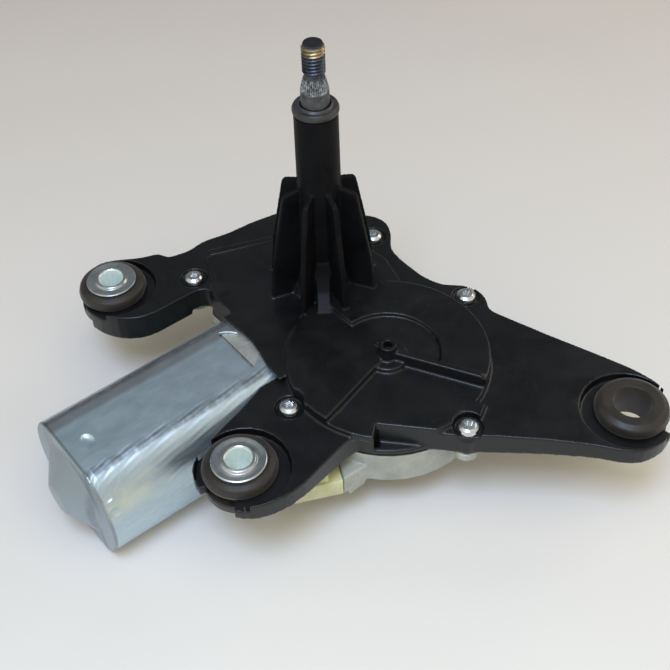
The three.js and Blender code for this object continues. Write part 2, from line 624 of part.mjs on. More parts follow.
function connectingRod() {
  const middle = midpoint(CRANK_PIN, ROD_PIN);
  return bar(middle, ROD_L, 6.4, ROD_Z0, ROD_Z1, angleOf(ROD_PIN, CRANK_PIN))
    .add(cylinder(4.2, ROD_Z0, ROD_Z1, ROD_PIN, 24))
    .add(cylinder(5.4, ROD_Z0, ROD_Z1, CRANK_PIN, 26))
    .subtract(cylinder(ROD_PIN_BORE, -20, 0, ROD_PIN, 20))
    .subtract(cylinder(2.9, -20, 0, CRANK_PIN, 22));
}

put('output_pinion', outputPinion(), STEEL);
put('toothed_quadrant', toothedQuadrant(), STEEL);
put('quadrant_pin', lathe(
  [[0, -15.1], [2.7, -15.1], [AXLE_R, -14.8], [AXLE_R, -2.8], [0, -2.8]], 24, PIVOT), STEEL);
put('quadrant_clip', ring(3.25, 5.0, -14.6, -13.9, PIVOT, 24), DARKSTEEL);
put('rod_pin', lathe([
  [0, -17.3], [3.4, -17.3], [3.4, ROD_Z0 - GAP], [ROD_PIN_R, ROD_Z0 - GAP],
  [ROD_PIN_R, QUAD_Z1 + 0.5], [0, QUAD_Z1 + 0.5],
], 22, ROD_PIN), STEEL);
put('connecting_rod', connectingRod(), STEEL);

// ---------------------------------------------------------------- worm wheel
function wormWheel() {
  const height = WHEEL_Z1 - WHEEL_Z0;
  const geometry = extrude(toothOutline({
    teeth: WHEEL_TEETH, root: WHEEL_ROOT, tip: WHEEL_OUT, rootHalf: 0.26, tipHalf: 0.1, phase: 90,
  }), height);
  // the teeth lean to follow the thread of the worm at its middle radius
  const wormRadius = (WORM_ROOT + WORM_OUT) / 2;
  const slope = LEAD / (2 * Math.PI * wormRadius) / MESH_R;
  reshape(geometry, (x, y, z) => {
    const twist = -slope * (z - height / 2);
    const [cos, sin] = [Math.cos(twist), Math.sin(twist)];
    return [x * cos - y * sin, x * sin + y * cos, z];
  });
  geometry.translate(WHEEL[0], WHEEL[1], WHEEL_Z0);
  return solid(geometry)
    .subtract(ring(14, 28.0, WHEEL_Z1 - 2.6, WHEEL_Z1 + 1, WHEEL, 36))
    .subtract(ring(12, 17.6, WHEEL_Z0 - 1, WHEEL_Z0 + 2.4, WHEEL, 26))
    .subtract(ring(18.7, 27.3, WHEEL_Z0 - 1, WHEEL_Z0 + 0.8, WHEEL, 40))
    .subtract(cylinder(AXLE_BORE, -40, 0, WHEEL, 24))
    .subtract(cylinder(5.6, WHEEL_Z1 - 1.3, 0, WHEEL, 24))
    .subtract(cylinder(CRANK_PIN_R + GAP, -26, 0, CRANK_PIN, 20));
}

function parkContactRing() {
  const notch = sector(WHEEL, 24.4, 60, 96, -40, 0, 4)
    .subtract(cylinder(22, -40, 0, WHEEL, 24));
  return ring(19, 27, WHEEL_Z0 - 0.1, WHEEL_Z0 + 0.5, WHEEL, 40).subtract(notch);
}

put('worm_wheel', wormWheel(), POM);
put('wheel_axle', lathe(
  [[0, -33.3], [AXLE_R, -33.3], [AXLE_R, -19.6], [2.7, -19.3], [0, -19.3]], 24, WHEEL), STEEL);
put('axle_clip', ring(3.25, 4.9, -20.0, -19.4, WHEEL, 24), DARKSTEEL);
put('crank_pin', cylinder(CRANK_PIN_R, -25.7, ROD_Z0 - GAP, CRANK_PIN, 22), STEEL);
put('park_contact_ring', parkContactRing(), BRASS);

// ---------------------------------------------------------------- armature and worm
const WORM_STEPS = 37;           // six steps to a turn
const WORM_L = (LEAD * WORM_STEPS) / 6;
const WORM_X0 = WHEEL[0] - WORM_L / 2;
const WORM_X1 = WHEEL[0] + WORM_L / 2;

// single start thread: the radius of each point is set by its place along the helix
function wormThread() {
  const outline = [];
  for (let i = 0; i < 12; i++) outline.push(polar(WORM_ROOT, 30 * i));
  const geometry = extrude(outline, WORM_L, WORM_STEPS);
  geometry.rotateY(Math.PI / 2);
  reshape(geometry, (x, y, z) => {
    const turn = Math.atan2(z, y) / (2 * Math.PI) + (x - WORM_L / 2) / LEAD;
    const fromCrest = Math.abs((((turn + 0.5) % 1) + 1) % 1 - 0.5);   // in leads
    const flank = THREE.MathUtils.clamp((fromCrest - 0.085) / 0.115, 0, 1);
    const scale = (WORM_OUT + (WORM_ROOT - WORM_OUT) * flank) / Math.hypot(y, z);
    return [x, y * scale, z * scale];
  });
  geometry.translate(WORM_X0, MOTOR_Y, MOTOR_Z);
  return solid(geometry);
}

const armatureShaft = () => latheX([
  [0, CAN_X0 - 5.4], [3.0, CAN_X0 - 5.4], [3.4, CAN_X0 - 4.9], [3.4, -117], [ARMATURE_R, -117],
  [ARMATURE_R, WORM_X0 - 0.4], [3.9, WORM_X0 - 0.2], [3.9, WORM_X1 + 0.6], [3.4, WORM_X1 + 1.4],
  [3.4, 13.4], [2.2, 14.0], [0, 14.0],
], 28).add(wormThread());

// round (y, z) outline with eight slots; slotAngles is measured from the middle of a segment
function slottedOutline({ radius, halfAngle, steps, slotRadius, slotAngles }) {
  const points = [];
  for (let i = 0; i < 8; i++) {
    const middle = i * 45;
    points.push(...arc(AXIS, radius, middle - halfAngle, middle + halfAngle, steps));
    points.push(...slotAngles.map((angle) => polar(slotRadius, middle + angle, AXIS)));
  }
  return points;
}
const CORE_OUTLINE = slottedOutline(
  { radius: 17.6, halfAngle: 18.5, steps: 4, slotRadius: 10, slotAngles: [19.5, 25.5] });
const COMMUTATOR_OUTLINE = slottedOutline(
  { radius: 9.4, halfAngle: 20, steps: 3, slotRadius: 8.6, slotAngles: [21, 24] });

// end winding that starts at x and grows in the given direction (-1 tail, 1 gearbox)
const winding = (x, direction) => latheX([
  [4.6, x], [15.6, x], [15.6, x + direction * 3.2], [13.4, x + direction * 5.2],
  [4.6, x + direction * 5.2], [4.6, x],
], 24);

// ferrite segment that starts at an angle in the (y, z) plane
function magnet(start) {
  const outer = arc(AXIS, CAN_R - CAN_T - GAP, start, start + 92, 10);
  const inner = arc(AXIS, 18.4, start + 92, start, 10);
  return prismX([...outer, ...inner], -108, -70)
    .intersect(prismX(canOutline(CAN_T + GAP, 7), -109, -69));
}

put('armature_shaft', armatureShaft(), STEEL);
put('armature_core', prismX(CORE_OUTLINE, CORE_X0, CORE_X1)
  .subtract(cylinderX(ARMATURE_BORE, -110, -70, 24)), DARKSTEEL);
put('winding_rear', winding(CORE_X0 - GAP, -1), COPPER);
put('winding_front', winding(CORE_X1 + GAP, 1), COPPER);
put('commutator', prismX(COMMUTATOR_OUTLINE, -67.8, -54)
  .subtract(cylinderX(ARMATURE_BORE, -70, -50, 24)), COPPER);
put('magnet_front', magnet(134), FERRITE);
put('magnet_back', magnet(-46), FERRITE);

// ---------------------------------------------------------------- motor can and end bracket
function motorCan() {
  let can = prismX(canOutline(0), CAN_X0, CAN_X1);
  // bearing boss on the tail face, and the hollow in it
  can = can.add(latheX([
    [0, BOSS_X], [5.6, BOSS_X], [6.4, BOSS_X + 0.5], [17.6, CAN_X0 - 0.1], [18, CAN_X0 + 0.5],
    [0, CAN_X0 + 0.5],
  ], 40));
  can = can.subtract(prismX(canOutline(CAN_T), CAN_X0 + CAN_T, CAN_X1 + 1));
  can = can.subtract(latheX([
    [0, BOSS_X + 1.5], [4.6, BOSS_X + 1.5], [6.2, CAN_X0 - 4.4], [6.2, CAN_X0 - 2.3],
    [6.2, CAN_X0 + 2.5], [0, CAN_X0 + 2.5],
  ], 40));
  // dimples: one on the upper flat, two on the -Y round at an angle above the horizontal
  const flatZ = MOTOR_Z + CAN_H;
  can = can.subtract(cylinder(1.8, flatZ - 0.7, flatZ + 1, [-111.8, -10.1], 14));
  for (const [x, angle] of [[-117.2, 33.3], [-116.5, 19.6]]) {
    can = can.subtract(cylinder(1.4, CAN_R - 0.7, CAN_R + 1, ORIGIN, 12)
      .rotate([90 - angle, 0, 0]).translate([x, MOTOR_Y, MOTOR_Z]));
  }
  // ears that fold over the end bracket
  for (const side of [-1, 1]) {
    const y = MOTOR_Y + side * EAR_Y;
    can = can.add(sideBox(side, CAN_X1 - 1, CAN_X1 + 3.4, y, 3.2, CAN_H - CAN_T, CAN_H));
  }
  return can;
}

// pressed steel bracket that closes the can
function endBracket() {
  const inset = CAN_T + GAP;
  let bracket = prismX(canOutline(inset), CAN_X1 - 3, CAN_X1 + GAP)
    .add(prismX(canOutline(1.0), CAN_X1 + GAP, BRACKET_X1));
  bracket = bracket.subtract(prismX(canOutline(inset + 1.6), CAN_X1 - 4, BRACKET_X1 - 1.6));
  bracket = bracket.subtract(cylinderX(7.9, BRACKET_X1 - 3, BRACKET_X1 + 1, 32));
  for (const side of [-1, 1]) {
    const y = MOTOR_Y + side * EAR_Y;
    bracket = bracket.subtract(
      cylinderX(1.9, BRACKET_X1 - 3, BRACKET_X1 + 1, 16, motorScrewAxis(side)));
    bracket = bracket.subtract(
      sideBox(side, CAN_X1 - GAP, CAN_X1 + 3.7, y, 3.5, CAN_H - inset, CAN_H + 1));
  }
  return bracket.subtract(cylinder(CUP_R + GAP, -36, 5, WHEEL, 64));
}

const motorScrew = (side) => latheX([
  [0, BRACKET_X1 - 4.0], [2.6, BRACKET_X1 - 4.0], [2.9, BRACKET_X1 - 3.4],
  [2.9, BRACKET_X1 - 1.9], [1.3, BRACKET_X1 - 1.9], [1.3, -33.6], [0, -33.6],
], 16, motorScrewAxis(side));

put('motor_can', motorCan(), ZINC);
put('rear_bearing', ringX(3.6, 5.9, CAN_X0 - 2.0, CAN_X0 + 2.6, 28), BRONZE);
put('end_bracket', endBracket(), ZINC);
put('motor_screw_1', motorScrew(-1), ZINC);
put('motor_screw_2', motorScrew(1), ZINC);
put('front_bearing', ringX(ARMATURE_BORE, 7.0, -39.9, -34.2, 28), BRONZE);
put('end_bearing', ringX(3.7, 6.0, 9.6, 13.9, 28), BRONZE);
put('thrust_pad', cylinderX(5.6, 14.3, 15.3, 20), STEEL);

// ---------------------------------------------------------------- brush gear
const BRUSH_X0 = -60.9;
const BRUSH_X1 = -53.7;

function brushHolder() {
  let holder = prismX(canOutline(CAN_T + 2.4), -52.2, -50.0)
    .subtract(cylinderX(12.2, -60, -40, 32));
  for (const side of [-1, 1]) {
    holder = holder.add(sideBox(side, -62.4, -51, MOTOR_Y, 4.4, 11.6, 19.2));
    holder = holder.subtract(
      sideBox(side, BRUSH_X0 - GAP, BRUSH_X1 + GAP, MOTOR_Y, 2.7 + GAP, 9, 18.2));
  }
  return holder;
}

// compression spring of two turns behind a brush
function brushSpring(side) {
  const coilRadius = 1.7;
  const points = [];
  for (let i = 0; i <= 24; i++) {
    const part = i / 24;
    points.push(new THREE.Vector3(
      (BRUSH_X0 + BRUSH_X1) / 2 + coilRadius * Math.cos(part * 4 * Math.PI),
      MOTOR_Y + coilRadius * Math.sin(part * 4 * Math.PI),
      MOTOR_Z + side * (15.15 + 2.5 * part)));
  }
  return solid(new THREE.ExtrudeGeometry(shapeOf(arc(ORIGIN, 0.25, 0, 300, 5)), {
    steps: 26, bevelEnabled: false, extrudePath: new THREE.CatmullRomCurve3(points),
  }));
}

put('brush_holder', brushHolder(), HOLDER);
for (const [name, side] of [['lower', -1], ['upper', 1]]) {
  put(`brush_${name}`, sideBox(side, BRUSH_X0, BRUSH_X1, MOTOR_Y, 2.7, 9.7, 14.6), CARBON);
  put(`brush_spring_${name}`, brushSpring(side), STEEL);
}

// ---------------------------------------------------------------- connector and terminals
const CONN_ANGLE = 155;          // the connector points away from the gearbox this way
const CONN_L = 22;
const CONN_W = 9.5;
const CONN_Z0 = -27.3;
const CONN_Z1 = -19.8;
const TERMINAL_PITCH = 2.2;
const BEND_SHIFT = [-0.028, 1.117];   // shift of a terminal's bend per mm of its offset
const TERMINAL_LENGTHS = [17.2, 15.4, 16.4];   // from the bend to the tip

// point of the connector, by distance along it from its inner end and across it
const onConnector = (along, across) =>
  polar(across, CONN_ANGLE - 90, polar(along, CONN_ANGLE, [-46.0, -68.8]));
const BEND = onConnector(-2.3, CONN_W / 2);
const INWARD = angleOf(BEND, WHEEL);

// cranked strip from the connector to a tip under the contact ring, grown to make its slot
function terminal(i, grow) {
  const offset = (i - 1) * TERMINAL_PITCH;
  const bend = [BEND[0] + BEND_SHIFT[0] * offset, BEND[1] + BEND_SHIFT[1] * offset];
  const length = TERMINAL_LENGTHS[i];
  const width = 1.1 + 2 * grow;
  const end = polar(length, INWARD, bend);
  const [low, high] = [-28.9 - grow, -23.4 + grow];
  return bar(polar(9.2, CONN_ANGLE, bend), 18.4 + 2 * grow, width, -24.0 - grow, high, CONN_ANGLE)
    .add(cylinder(0.62 + grow, low, high, bend, 20))
    .add(bar(midpoint(bend, end), length + 2 * grow, width, low, -28.3 + grow, INWARD))
    .add(bar(polar(-0.6, INWARD, end), 1.2, 1.1, -28.6, -27.5, INWARD));
}

function cutTerminalSlots(body) {
  return [0, 1, 2].reduce((rest, i) => rest.subtract(terminal(i, GAP)), body);
}

function connectorHousing() {
  const part = (along, length, width, z0, z1) =>
    bar(onConnector(along, CONN_W / 2), length, width, z0, z1, CONN_ANGLE);
  return cutTerminalSlots(part(CONN_L / 2, CONN_L, CONN_W, CONN_Z0, CONN_Z1)
    .add(part(13.5, 17, CONN_W - 2, CONN_Z1 - 0.5, -15.5))
    .subtract(part(13.5, 20, CONN_W - 3, CONN_Z0 + 1.5, CONN_Z1 - 1.5))
    .subtract(part(16, 16, CONN_W - 5, CONN_Z1 - 2, -17.0)));
}

// ---------------------------------------------------------------- lower cover and gasket
// outline of the cover over the linkage, and of the room inside it: x, y
const LID_PLAN = fillet([
  [-37.8, 24.0], [-37.8, 8.2], [-31.9, 8.2], [-31.9, -22], [14, -22], [28.2, -8], [27.4, 7],
  [18, 26], [5.4, 37.8], [-19, 41], [-31, 33.5],
], 1.5);
const LID_ROOM = fillet([
  [-35.8, 22.6], [-35.8, 10.2], [-29.9, 10.2], [-29.9, -22], [14, -22], [25.8, -8], [25, 6],
  [16, 24], [4.6, 35.5], [-18, 38.5], [-29, 31.4],
], 1.5);
// webs that tie the screw ears to the cover: centre, length, angle
const EAR_WEBS = [
  [[-42, -42.4], 14, 5], [[33, -41], 14, 0], [[-5.7, -84.5], 9, 90], [[28, 9.2], 12, 0],
  [[-32.5, 33.5], 12, 140],
];
const motorBlockRoom = motorBlock(-40, -31.9, -40, 0, GAP);
const endBlockRoom = endBlock(COVER_FLOOR, 0, GAP);
const canRoom = prismX(canOutline(0.7, 7), -60, BRACKET_X1 + GAP);

function lowerCover() {
  let cover = prism(LID_PLAN, -19.6, COVER_TOP);
  // trough under the worm
  cover = cover.add(box(-31.9, 21, MOTOR_Y - 9.8, MOTOR_Y + 9.8, COVER_BOT, COVER_TOP));
  cover = cover.add(union(SCREWS.map((at) =>
    cylinder(SCREW_BOSS_R, EAR_BOT, COVER_TOP, at, 24))));
  for (const [centre, length, angle] of EAR_WEBS) {
    cover = cover.add(bar(centre, length, 6, EAR_BOT, COVER_TOP, angle));
  }
  cover = cover.subtract(motorBlockRoom).subtract(canRoom);
  // bracket of the connector
  cover = cover.add(prism(
    [onConnector(-0.3, 0), [-34.5, -69.6], [-36, -58], onConnector(-0.3, CONN_W)],
    CONN_Z0, CONN_Z1 + 1.0));
  cover = cover.add(prism(
    [[-43.9, -69.4], [-36, -69], [-35, -60], [-42.0, -60.8]], -29.6, CONN_Z0 + 0.1));
  // cup under the worm wheel
  cover = cover.add(lathe([
    [0, COVER_BOT], [31.2, COVER_BOT], [CUP_R, COVER_BOT + 4.4], [CUP_R, COVER_TOP],
    [0, COVER_TOP],
  ], 64, WHEEL));
  // inside of the cup, the lid and the trough
  cover = cover.subtract(lathe([
    [0, COVER_FLOOR], [31.4, COVER_FLOOR], [ROOM_R, -27.0], [ROOM_R, COVER_TOP + 1],
    [0, COVER_TOP + 1],
  ], 64, WHEEL));
  cover = cover.subtract(prism(LID_ROOM, -17.7, COVER_TOP + 1));
  cover = cover.subtract(box(-34, 19, MOTOR_Y - 8, MOTOR_Y + 8, COVER_FLOOR, COVER_TOP + 1));
  cover = cover.subtract(endBlockRoom);
  // boss that holds the wheel axle
  cover = cover.add(cylinder(6.0, COVER_BOT - 2.4, -28.2, WHEEL, 28))
    .subtract(cylinder(AXLE_BORE, -33.6, -20, WHEEL, 24));
  for (const at of SCREWS) cover = cover.subtract(cylinder(SCREW_HOLE_R, -22, 0, at, 16));
  return cutTerminalSlots(cover);
}

function coverGasket() {
  const [low, high] = [PARTING - 0.65, PARTING - 0.25];
  return prism(LID_PLAN, low, high).subtract(motorBlockRoom).subtract(canRoom)
    .add(cylinder(CUP_R, low, high, WHEEL, 64))
    .subtract(cylinder(ROOM_R, -20, 0, WHEEL, 64))
    .subtract(prism(LID_ROOM, -20, 0))
    .subtract(endBlockRoom)
    .subtract(union(SCREWS.map((at) => cylinder(5.2, -20, 0, at, 20))));
}

put('lower_cover', lowerCover(), NYLON);
put('cover_gasket', coverGasket(), GASKET);
put('connector_housing', connectorHousing(), PALE);
for (let i = 0; i < 3; i++) put(`terminal_${i + 1}`, terminal(i, 0), BRASS);

// ---------------------------------------------------------------- grommets, bushings, screws
const grommet = (centre, bore, top) => lathe([
  [bore, -14.6], [12.4, -14.6], [13.0, -13.6], [13.0, -10.5], [10.1, -10.5], [10.1, -6.0],
  [12.9, -6.0], [13.3, -4.8], [12.6, -2.4], [10.6, top], [bore, top], [bore, -14.6],
], 36, centre);

const bushing = (centre) => lathe([
  [4.5, -15.2], [6.0, -15.2], [6.0, -1.0], [9.4, -1.0], [9.4, -0.3], [9.0, 0.0], [5.2, 0.0],
  [4.5, -0.6], [4.5, -15.2],
], 36, centre);

// screw with a star recess in its head
function coverScrew(centre) {
  const star = [];
  for (let i = 0; i < 12; i++) star.push(polar(i % 2 ? 1.25 : 1.75, i * 30, centre));
  return lathe([
    [0, -16.2], [SCREW_R, -16.2], [SCREW_R, -3.9], [3.7, -3.9], [3.7, -2.7], [2.7, -1.5],
    [0, -1.3],
  ], 26, centre).subtract(prism(star, -2.7, 0));
}

for (const name of ['left', 'front']) {
  put(`grommet_${name}`, grommet(ARMS[name].mount, 6.3, -1.3), RUBBER);
  put(`bushing_${name}`, bushing(ARMS[name].mount), ZINC);
}
put('grommet_right', grommet(ARMS.right.mount, 6.9, -0.9), RUBBER);   // has no bushing
SCREWS.forEach((centre, i) => put(`cover_screw_${i + 1}`, coverScrew(centre), ZINC));

group.position.set(0, 0, -SHAFT_TIP);
group.updateMatrixWorld(true);

export default group;
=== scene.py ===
"""Looks of a rear wiper motor: smooth moulded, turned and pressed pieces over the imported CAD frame.

The spindle stands along +z, with its tip at the part's origin. The motor can lies along x to the
-x side of the gearbox, and the whole part rests on a table. Sizes are in mm and heights are
measured from the drawing datum at the bushing tops; meshes are built in metres.
"""

import json
import math

import bmesh
import bpy
from mathutils import Matrix, Vector


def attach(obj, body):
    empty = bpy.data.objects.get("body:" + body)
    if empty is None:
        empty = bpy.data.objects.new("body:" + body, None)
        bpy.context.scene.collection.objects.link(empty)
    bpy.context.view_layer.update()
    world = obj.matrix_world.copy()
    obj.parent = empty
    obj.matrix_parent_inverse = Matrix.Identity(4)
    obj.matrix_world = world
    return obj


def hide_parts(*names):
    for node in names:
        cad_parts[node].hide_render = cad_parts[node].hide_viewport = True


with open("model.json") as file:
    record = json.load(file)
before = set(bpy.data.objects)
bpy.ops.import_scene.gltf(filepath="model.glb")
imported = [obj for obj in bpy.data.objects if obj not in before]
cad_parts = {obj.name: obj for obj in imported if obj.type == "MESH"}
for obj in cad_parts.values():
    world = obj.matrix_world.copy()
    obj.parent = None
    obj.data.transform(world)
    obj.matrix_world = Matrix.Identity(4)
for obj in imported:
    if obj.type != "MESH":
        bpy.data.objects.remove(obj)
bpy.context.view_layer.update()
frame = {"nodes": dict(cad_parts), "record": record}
nodes = frame["nodes"]

# ---------------------------------------------------------------- shared dimensions, mm
MM = 0.001
DATUM = -105.2         # height of the datum in the part frame
SHAFT_TIP = -DATUM

# mounting eyes: name, centre (x, y), whether it holds a metal bushing
MOUNTS = [("left", (-63.7, 54.9), True),
          ("front", (-76.2, -50.7), True),
          ("right", (45.2, -118.2), False)]
SCREWS = [(-36.8, 36.8), (33.7, 10.2), (38.7, -40.2), (-48.0, -41.5), (-5.6, -88.5)]
WHEEL = (-7.2, -47.1)  # axis of the round gearbox wall
WALL_R = 36.1

MOTOR_Y, MOTOR_Z = MOTOR = (-8.3, -23.0)
CAN_R = 26.6           # round sides
CAN_HALF_H = 21.8      # flat top and bottom, from the motor axis
CAN_WALL = 1.8
CAN_TAIL = -120.1      # closed end
CAN_STEP = -46.7       # where the wall thins towards the mouth
CAN_FRONT = -41.8
PLATE_FRONT = -38.3
CAN_TOP = MOTOR_Z + CAN_HALF_H

TUBE_TOP = 79.0


# ---------------------------------------------------------------- meshes
def link(obj):
    bpy.context.scene.collection.objects.link(obj)
    return obj


def weld(mesh, distance):
    """Merges doubled points and turns all faces outward."""
    bm = bmesh.new()
    bm.from_mesh(mesh)
    bmesh.ops.remove_doubles(bm, verts=bm.verts, dist=distance)
    bmesh.ops.recalc_face_normals(bm, faces=bm.faces)
    bm.to_mesh(mesh)
    bm.free()


def mesh_object(name, verts, faces):
    """Object from points in mm about the datum."""
    mesh = bpy.data.meshes.new(name)
    mesh.from_pydata([(x * MM, y * MM, (z + DATUM) * MM) for x, y, z in verts], [], faces)
    mesh.validate()
    weld(mesh, 1e-7)
    return link(bpy.data.objects.new(name, mesh))


def copy_node(node, name):
    """Copy of a CAD node's mesh without its materials."""
    mesh = nodes[node].data.copy()
    mesh.name = name
    mesh.materials.clear()
    weld(mesh, 2e-6)
    return link(bpy.data.objects.new(name, mesh))


def side_faces(rows, n, closed=False):
    """Quads between successive rings of n points; closed joins the last ring to the first."""
    faces = []
    for j in range(rows if closed else rows - 1):
        k = (j + 1) % rows
        for i in range(n):
            i2 = (i + 1) % n
            faces.append((j * n + i, j * n + i2, k * n + i2, k * n + i))
    return faces


def end_faces(rows, n):
    last = (rows - 1) * n
    return [tuple(reversed(range(n))), tuple(range(last, last + n))]


def skin(name, rings):
    """Closed skin through rings of 3D points with the same point count."""
    rows, n = len(rings), len(rings[0])
    verts = [point for ring in rings for point in ring]
    return mesh_object(name, verts, side_faces(rows, n) + end_faces(rows, n))


def loft_x(name, sections):
    """Closed skin through sections of (x, [(y, z), ...])."""
    return skin(name, [[(x, y, z) for y, z in ring] for x, ring in sections])


def prism(name, outline, z0, z1):
    n = len(outline)
    verts = [(x, y, z) for z in (z0, z1) for x, y in outline]
    return mesh_object(name, verts, end_faces(2, n) + side_faces(2, n))


def rounded(profile, radius=0.3, steps=4):
    """Profile of (radius, height) points with each inner corner turned into a small arc.

    A third value in a point sets its own corner radius.
    """
    points = [profile[0][:2]]
    for before, corner, after in zip(profile, profile[1:], profile[2:]):
        c = Vector(corner[:2])
        u, v = Vector(before[:2]) - c, Vector(after[:2]) - c
        len_u, len_v = u.length, v.length
        u.normalize()
        v.normalize()
        half = math.acos(max(-1, min(1, u.dot(v)))) / 2
        if half > math.radians(86):      # nearly straight
            points.append((c.x, c.y))
            continue
        own = corner[2] if len(corner) > 2 else radius
        reach = min(own / math.tan(half), len_u * 0.48, len_v * 0.48)
        start, end = c + u * reach, c + v * reach
        for k in range(steps + 1):
            s = k / steps
            q = start * (1 - s) ** 2 + c * 2 * s * (1 - s) + end * s * s
            points.append((q.x, q.y))
    return points + [profile[-1][:2]]


def lathe(name, profile, n=96, centre=(0, 0), axis="z", closed=False):
    """Turned piece from (radius, position along the axis) points.

    The centre is (x, y) for axis z and (y, z) for axis x.
    """
    verts = []
    for r, h in profile:
        for i in range(n):
            a = 2 * math.pi * i / n
            p, q = centre[0] + r * math.cos(a), centre[1] + r * math.sin(a)
            verts.append((p, q, h) if axis == "z" else (h, p, q))
    return mesh_object(name, verts, side_faces(len(profile), n, closed))


def cylinder(radius, start, end, n, centre=(0, 0), axis="z"):
    profile = [(0.0, start), (radius, start), (radius, end), (0.0, end)]
    return lathe("cylinder_tool", profile, n, centre, axis)


def modify(obj, kind, **settings):
    modifier = obj.modifiers.new(kind.lower(), kind)
    for key, value in settings.items():
        setattr(modifier, key, value)


def bake(obj):
    """Applies all modifiers."""
    bpy.context.view_layer.update()
    depsgraph = bpy.context.evaluated_depsgraph_get()
    mesh = bpy.data.meshes.new_from_object(obj.evaluated_get(depsgraph))
    obj.modifiers.clear()
    old = obj.data
    obj.data = mesh
    bpy.data.meshes.remove(old)


def combine(obj, tool, operation):
    modify(obj, "BOOLEAN", operation=operation, solver="MANIFOLD", object=tool)
    bake(obj)
    bpy.data.objects.remove(tool)


def cut(obj, tool):
    combine(obj, tool, "DIFFERENCE")


def fuse(obj, tool):
    combine(obj, tool, "UNION")


def soften(obj, voxel, iterations):
    """Melts all edges a little, as a mould does: even remesh, then smoothing."""
    modify(obj, "REMESH", mode="VOXEL", voxel_size=voxel * MM, use_smooth_shade=True)
    modify(obj, "SMOOTH", factor=0.5, iterations=iterations)
    bake(obj)


def keep_main(obj):
    """Drops everything but the largest connected shell."""
    bm = bmesh.new()
    bm.from_mesh(obj.data)
    bmesh.ops.remove_doubles(bm, verts=bm.verts, dist=1e-7)
    bmesh.ops.dissolve_degenerate(bm, dist=1e-7, edges=bm.edges)
    left, shells = set(bm.faces), []
    while left:
        first = left.pop()
        shell, todo = [first], [first]
        while todo:
            for edge in todo.pop().edges:
                if len(edge.link_faces) != 2:
                    continue
                for face in edge.link_faces:
                    if face in left:
                        left.discard(face)
                        shell.append(face)
                        todo.append(face)
        shells.append(shell)
    shells.sort(key=len, reverse=True)
    crumbs = [face for shell in shells[1:] for face in shell]
    if crumbs:
        bmesh.ops.delete(bm, geom=crumbs, context="FACES")
    bm.to_mesh(obj.data)
    bm.free()
    obj.data.update()


def smooth(obj, angle=None):
    """Shades smooth all over, or only across edges flatter than the angle in degrees."""
    for face in obj.data.polygons:
        face.use_smooth = True
    if angle is None:
        return
    for other in bpy.context.selected_objects:
        other.select_set(False)
    bpy.context.view_layer.objects.active = obj
    obj.select_set(True)
    bpy.ops.object.shade_smooth_by_angle(angle=math.radians(angle), keep_sharp_edges=False)


def finish(obj, material, replaced, body="base"):
    """Gives a piece its material, parents it to the empty of the body it moves with and hides the CAD
    part it stands in for.
    """
    obj.data.materials.clear()
    obj.data.materials.append(MATERIALS[material])
    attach(obj, body)
    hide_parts(replaced)


# ---------------------------------------------------------------- shader building
class Shading:
    """Adds nodes to one shader tree; values may be sockets or constants."""

    def __init__(self, tree):
        self.tree = tree

    def node(self, kind):
        return self.tree.nodes.new("ShaderNode" + kind)

    def feed(self, socket, value):
        if isinstance(value, bpy.types.NodeSocket):
            self.tree.links.new(value, socket)
        elif socket.type == "RGBA":
            socket.default_value = (*value, 1)
        else:
            socket.default_value = value

    def math(self, operation, a, b=0.0, c=0.0):
        node = self.node("Math")
        node.operation = operation
        for socket, value in zip(node.inputs, (a, b, c)):
            self.feed(socket, value)
        return node.outputs[0]

    def along(self, vector, direction):
        node = self.node("VectorMath")
        node.operation = "DOT_PRODUCT"
        node.inputs[1].default_value = direction
        self.feed(node.inputs[0], vector)
        return node.outputs["Value"]

    def ramp(self, value, stops):
        """Colour ramp of (position, colour or grey level) stops."""
        node = self.node("ValToRGB")
        elements = node.color_ramp.elements
        while len(elements) < len(stops):
            elements.new(0.5)
        for element, (position, c) in zip(elements, stops):
            element.position = position
            element.color = (*c, 1) if isinstance(c, tuple) else (c, c, c, 1)
        self.feed(node.inputs[0], value)
        return node.outputs[0]

    def mix(self, mask, a, b, blend="MIX"):
        node = self.node("Mix")
        node.data_type = "RGBA"
        node.blend_type = blend
        for i, value in ((0, mask), (6, a), (7, b)):
            self.feed(node.inputs[i], value)
        return node.outputs[2]


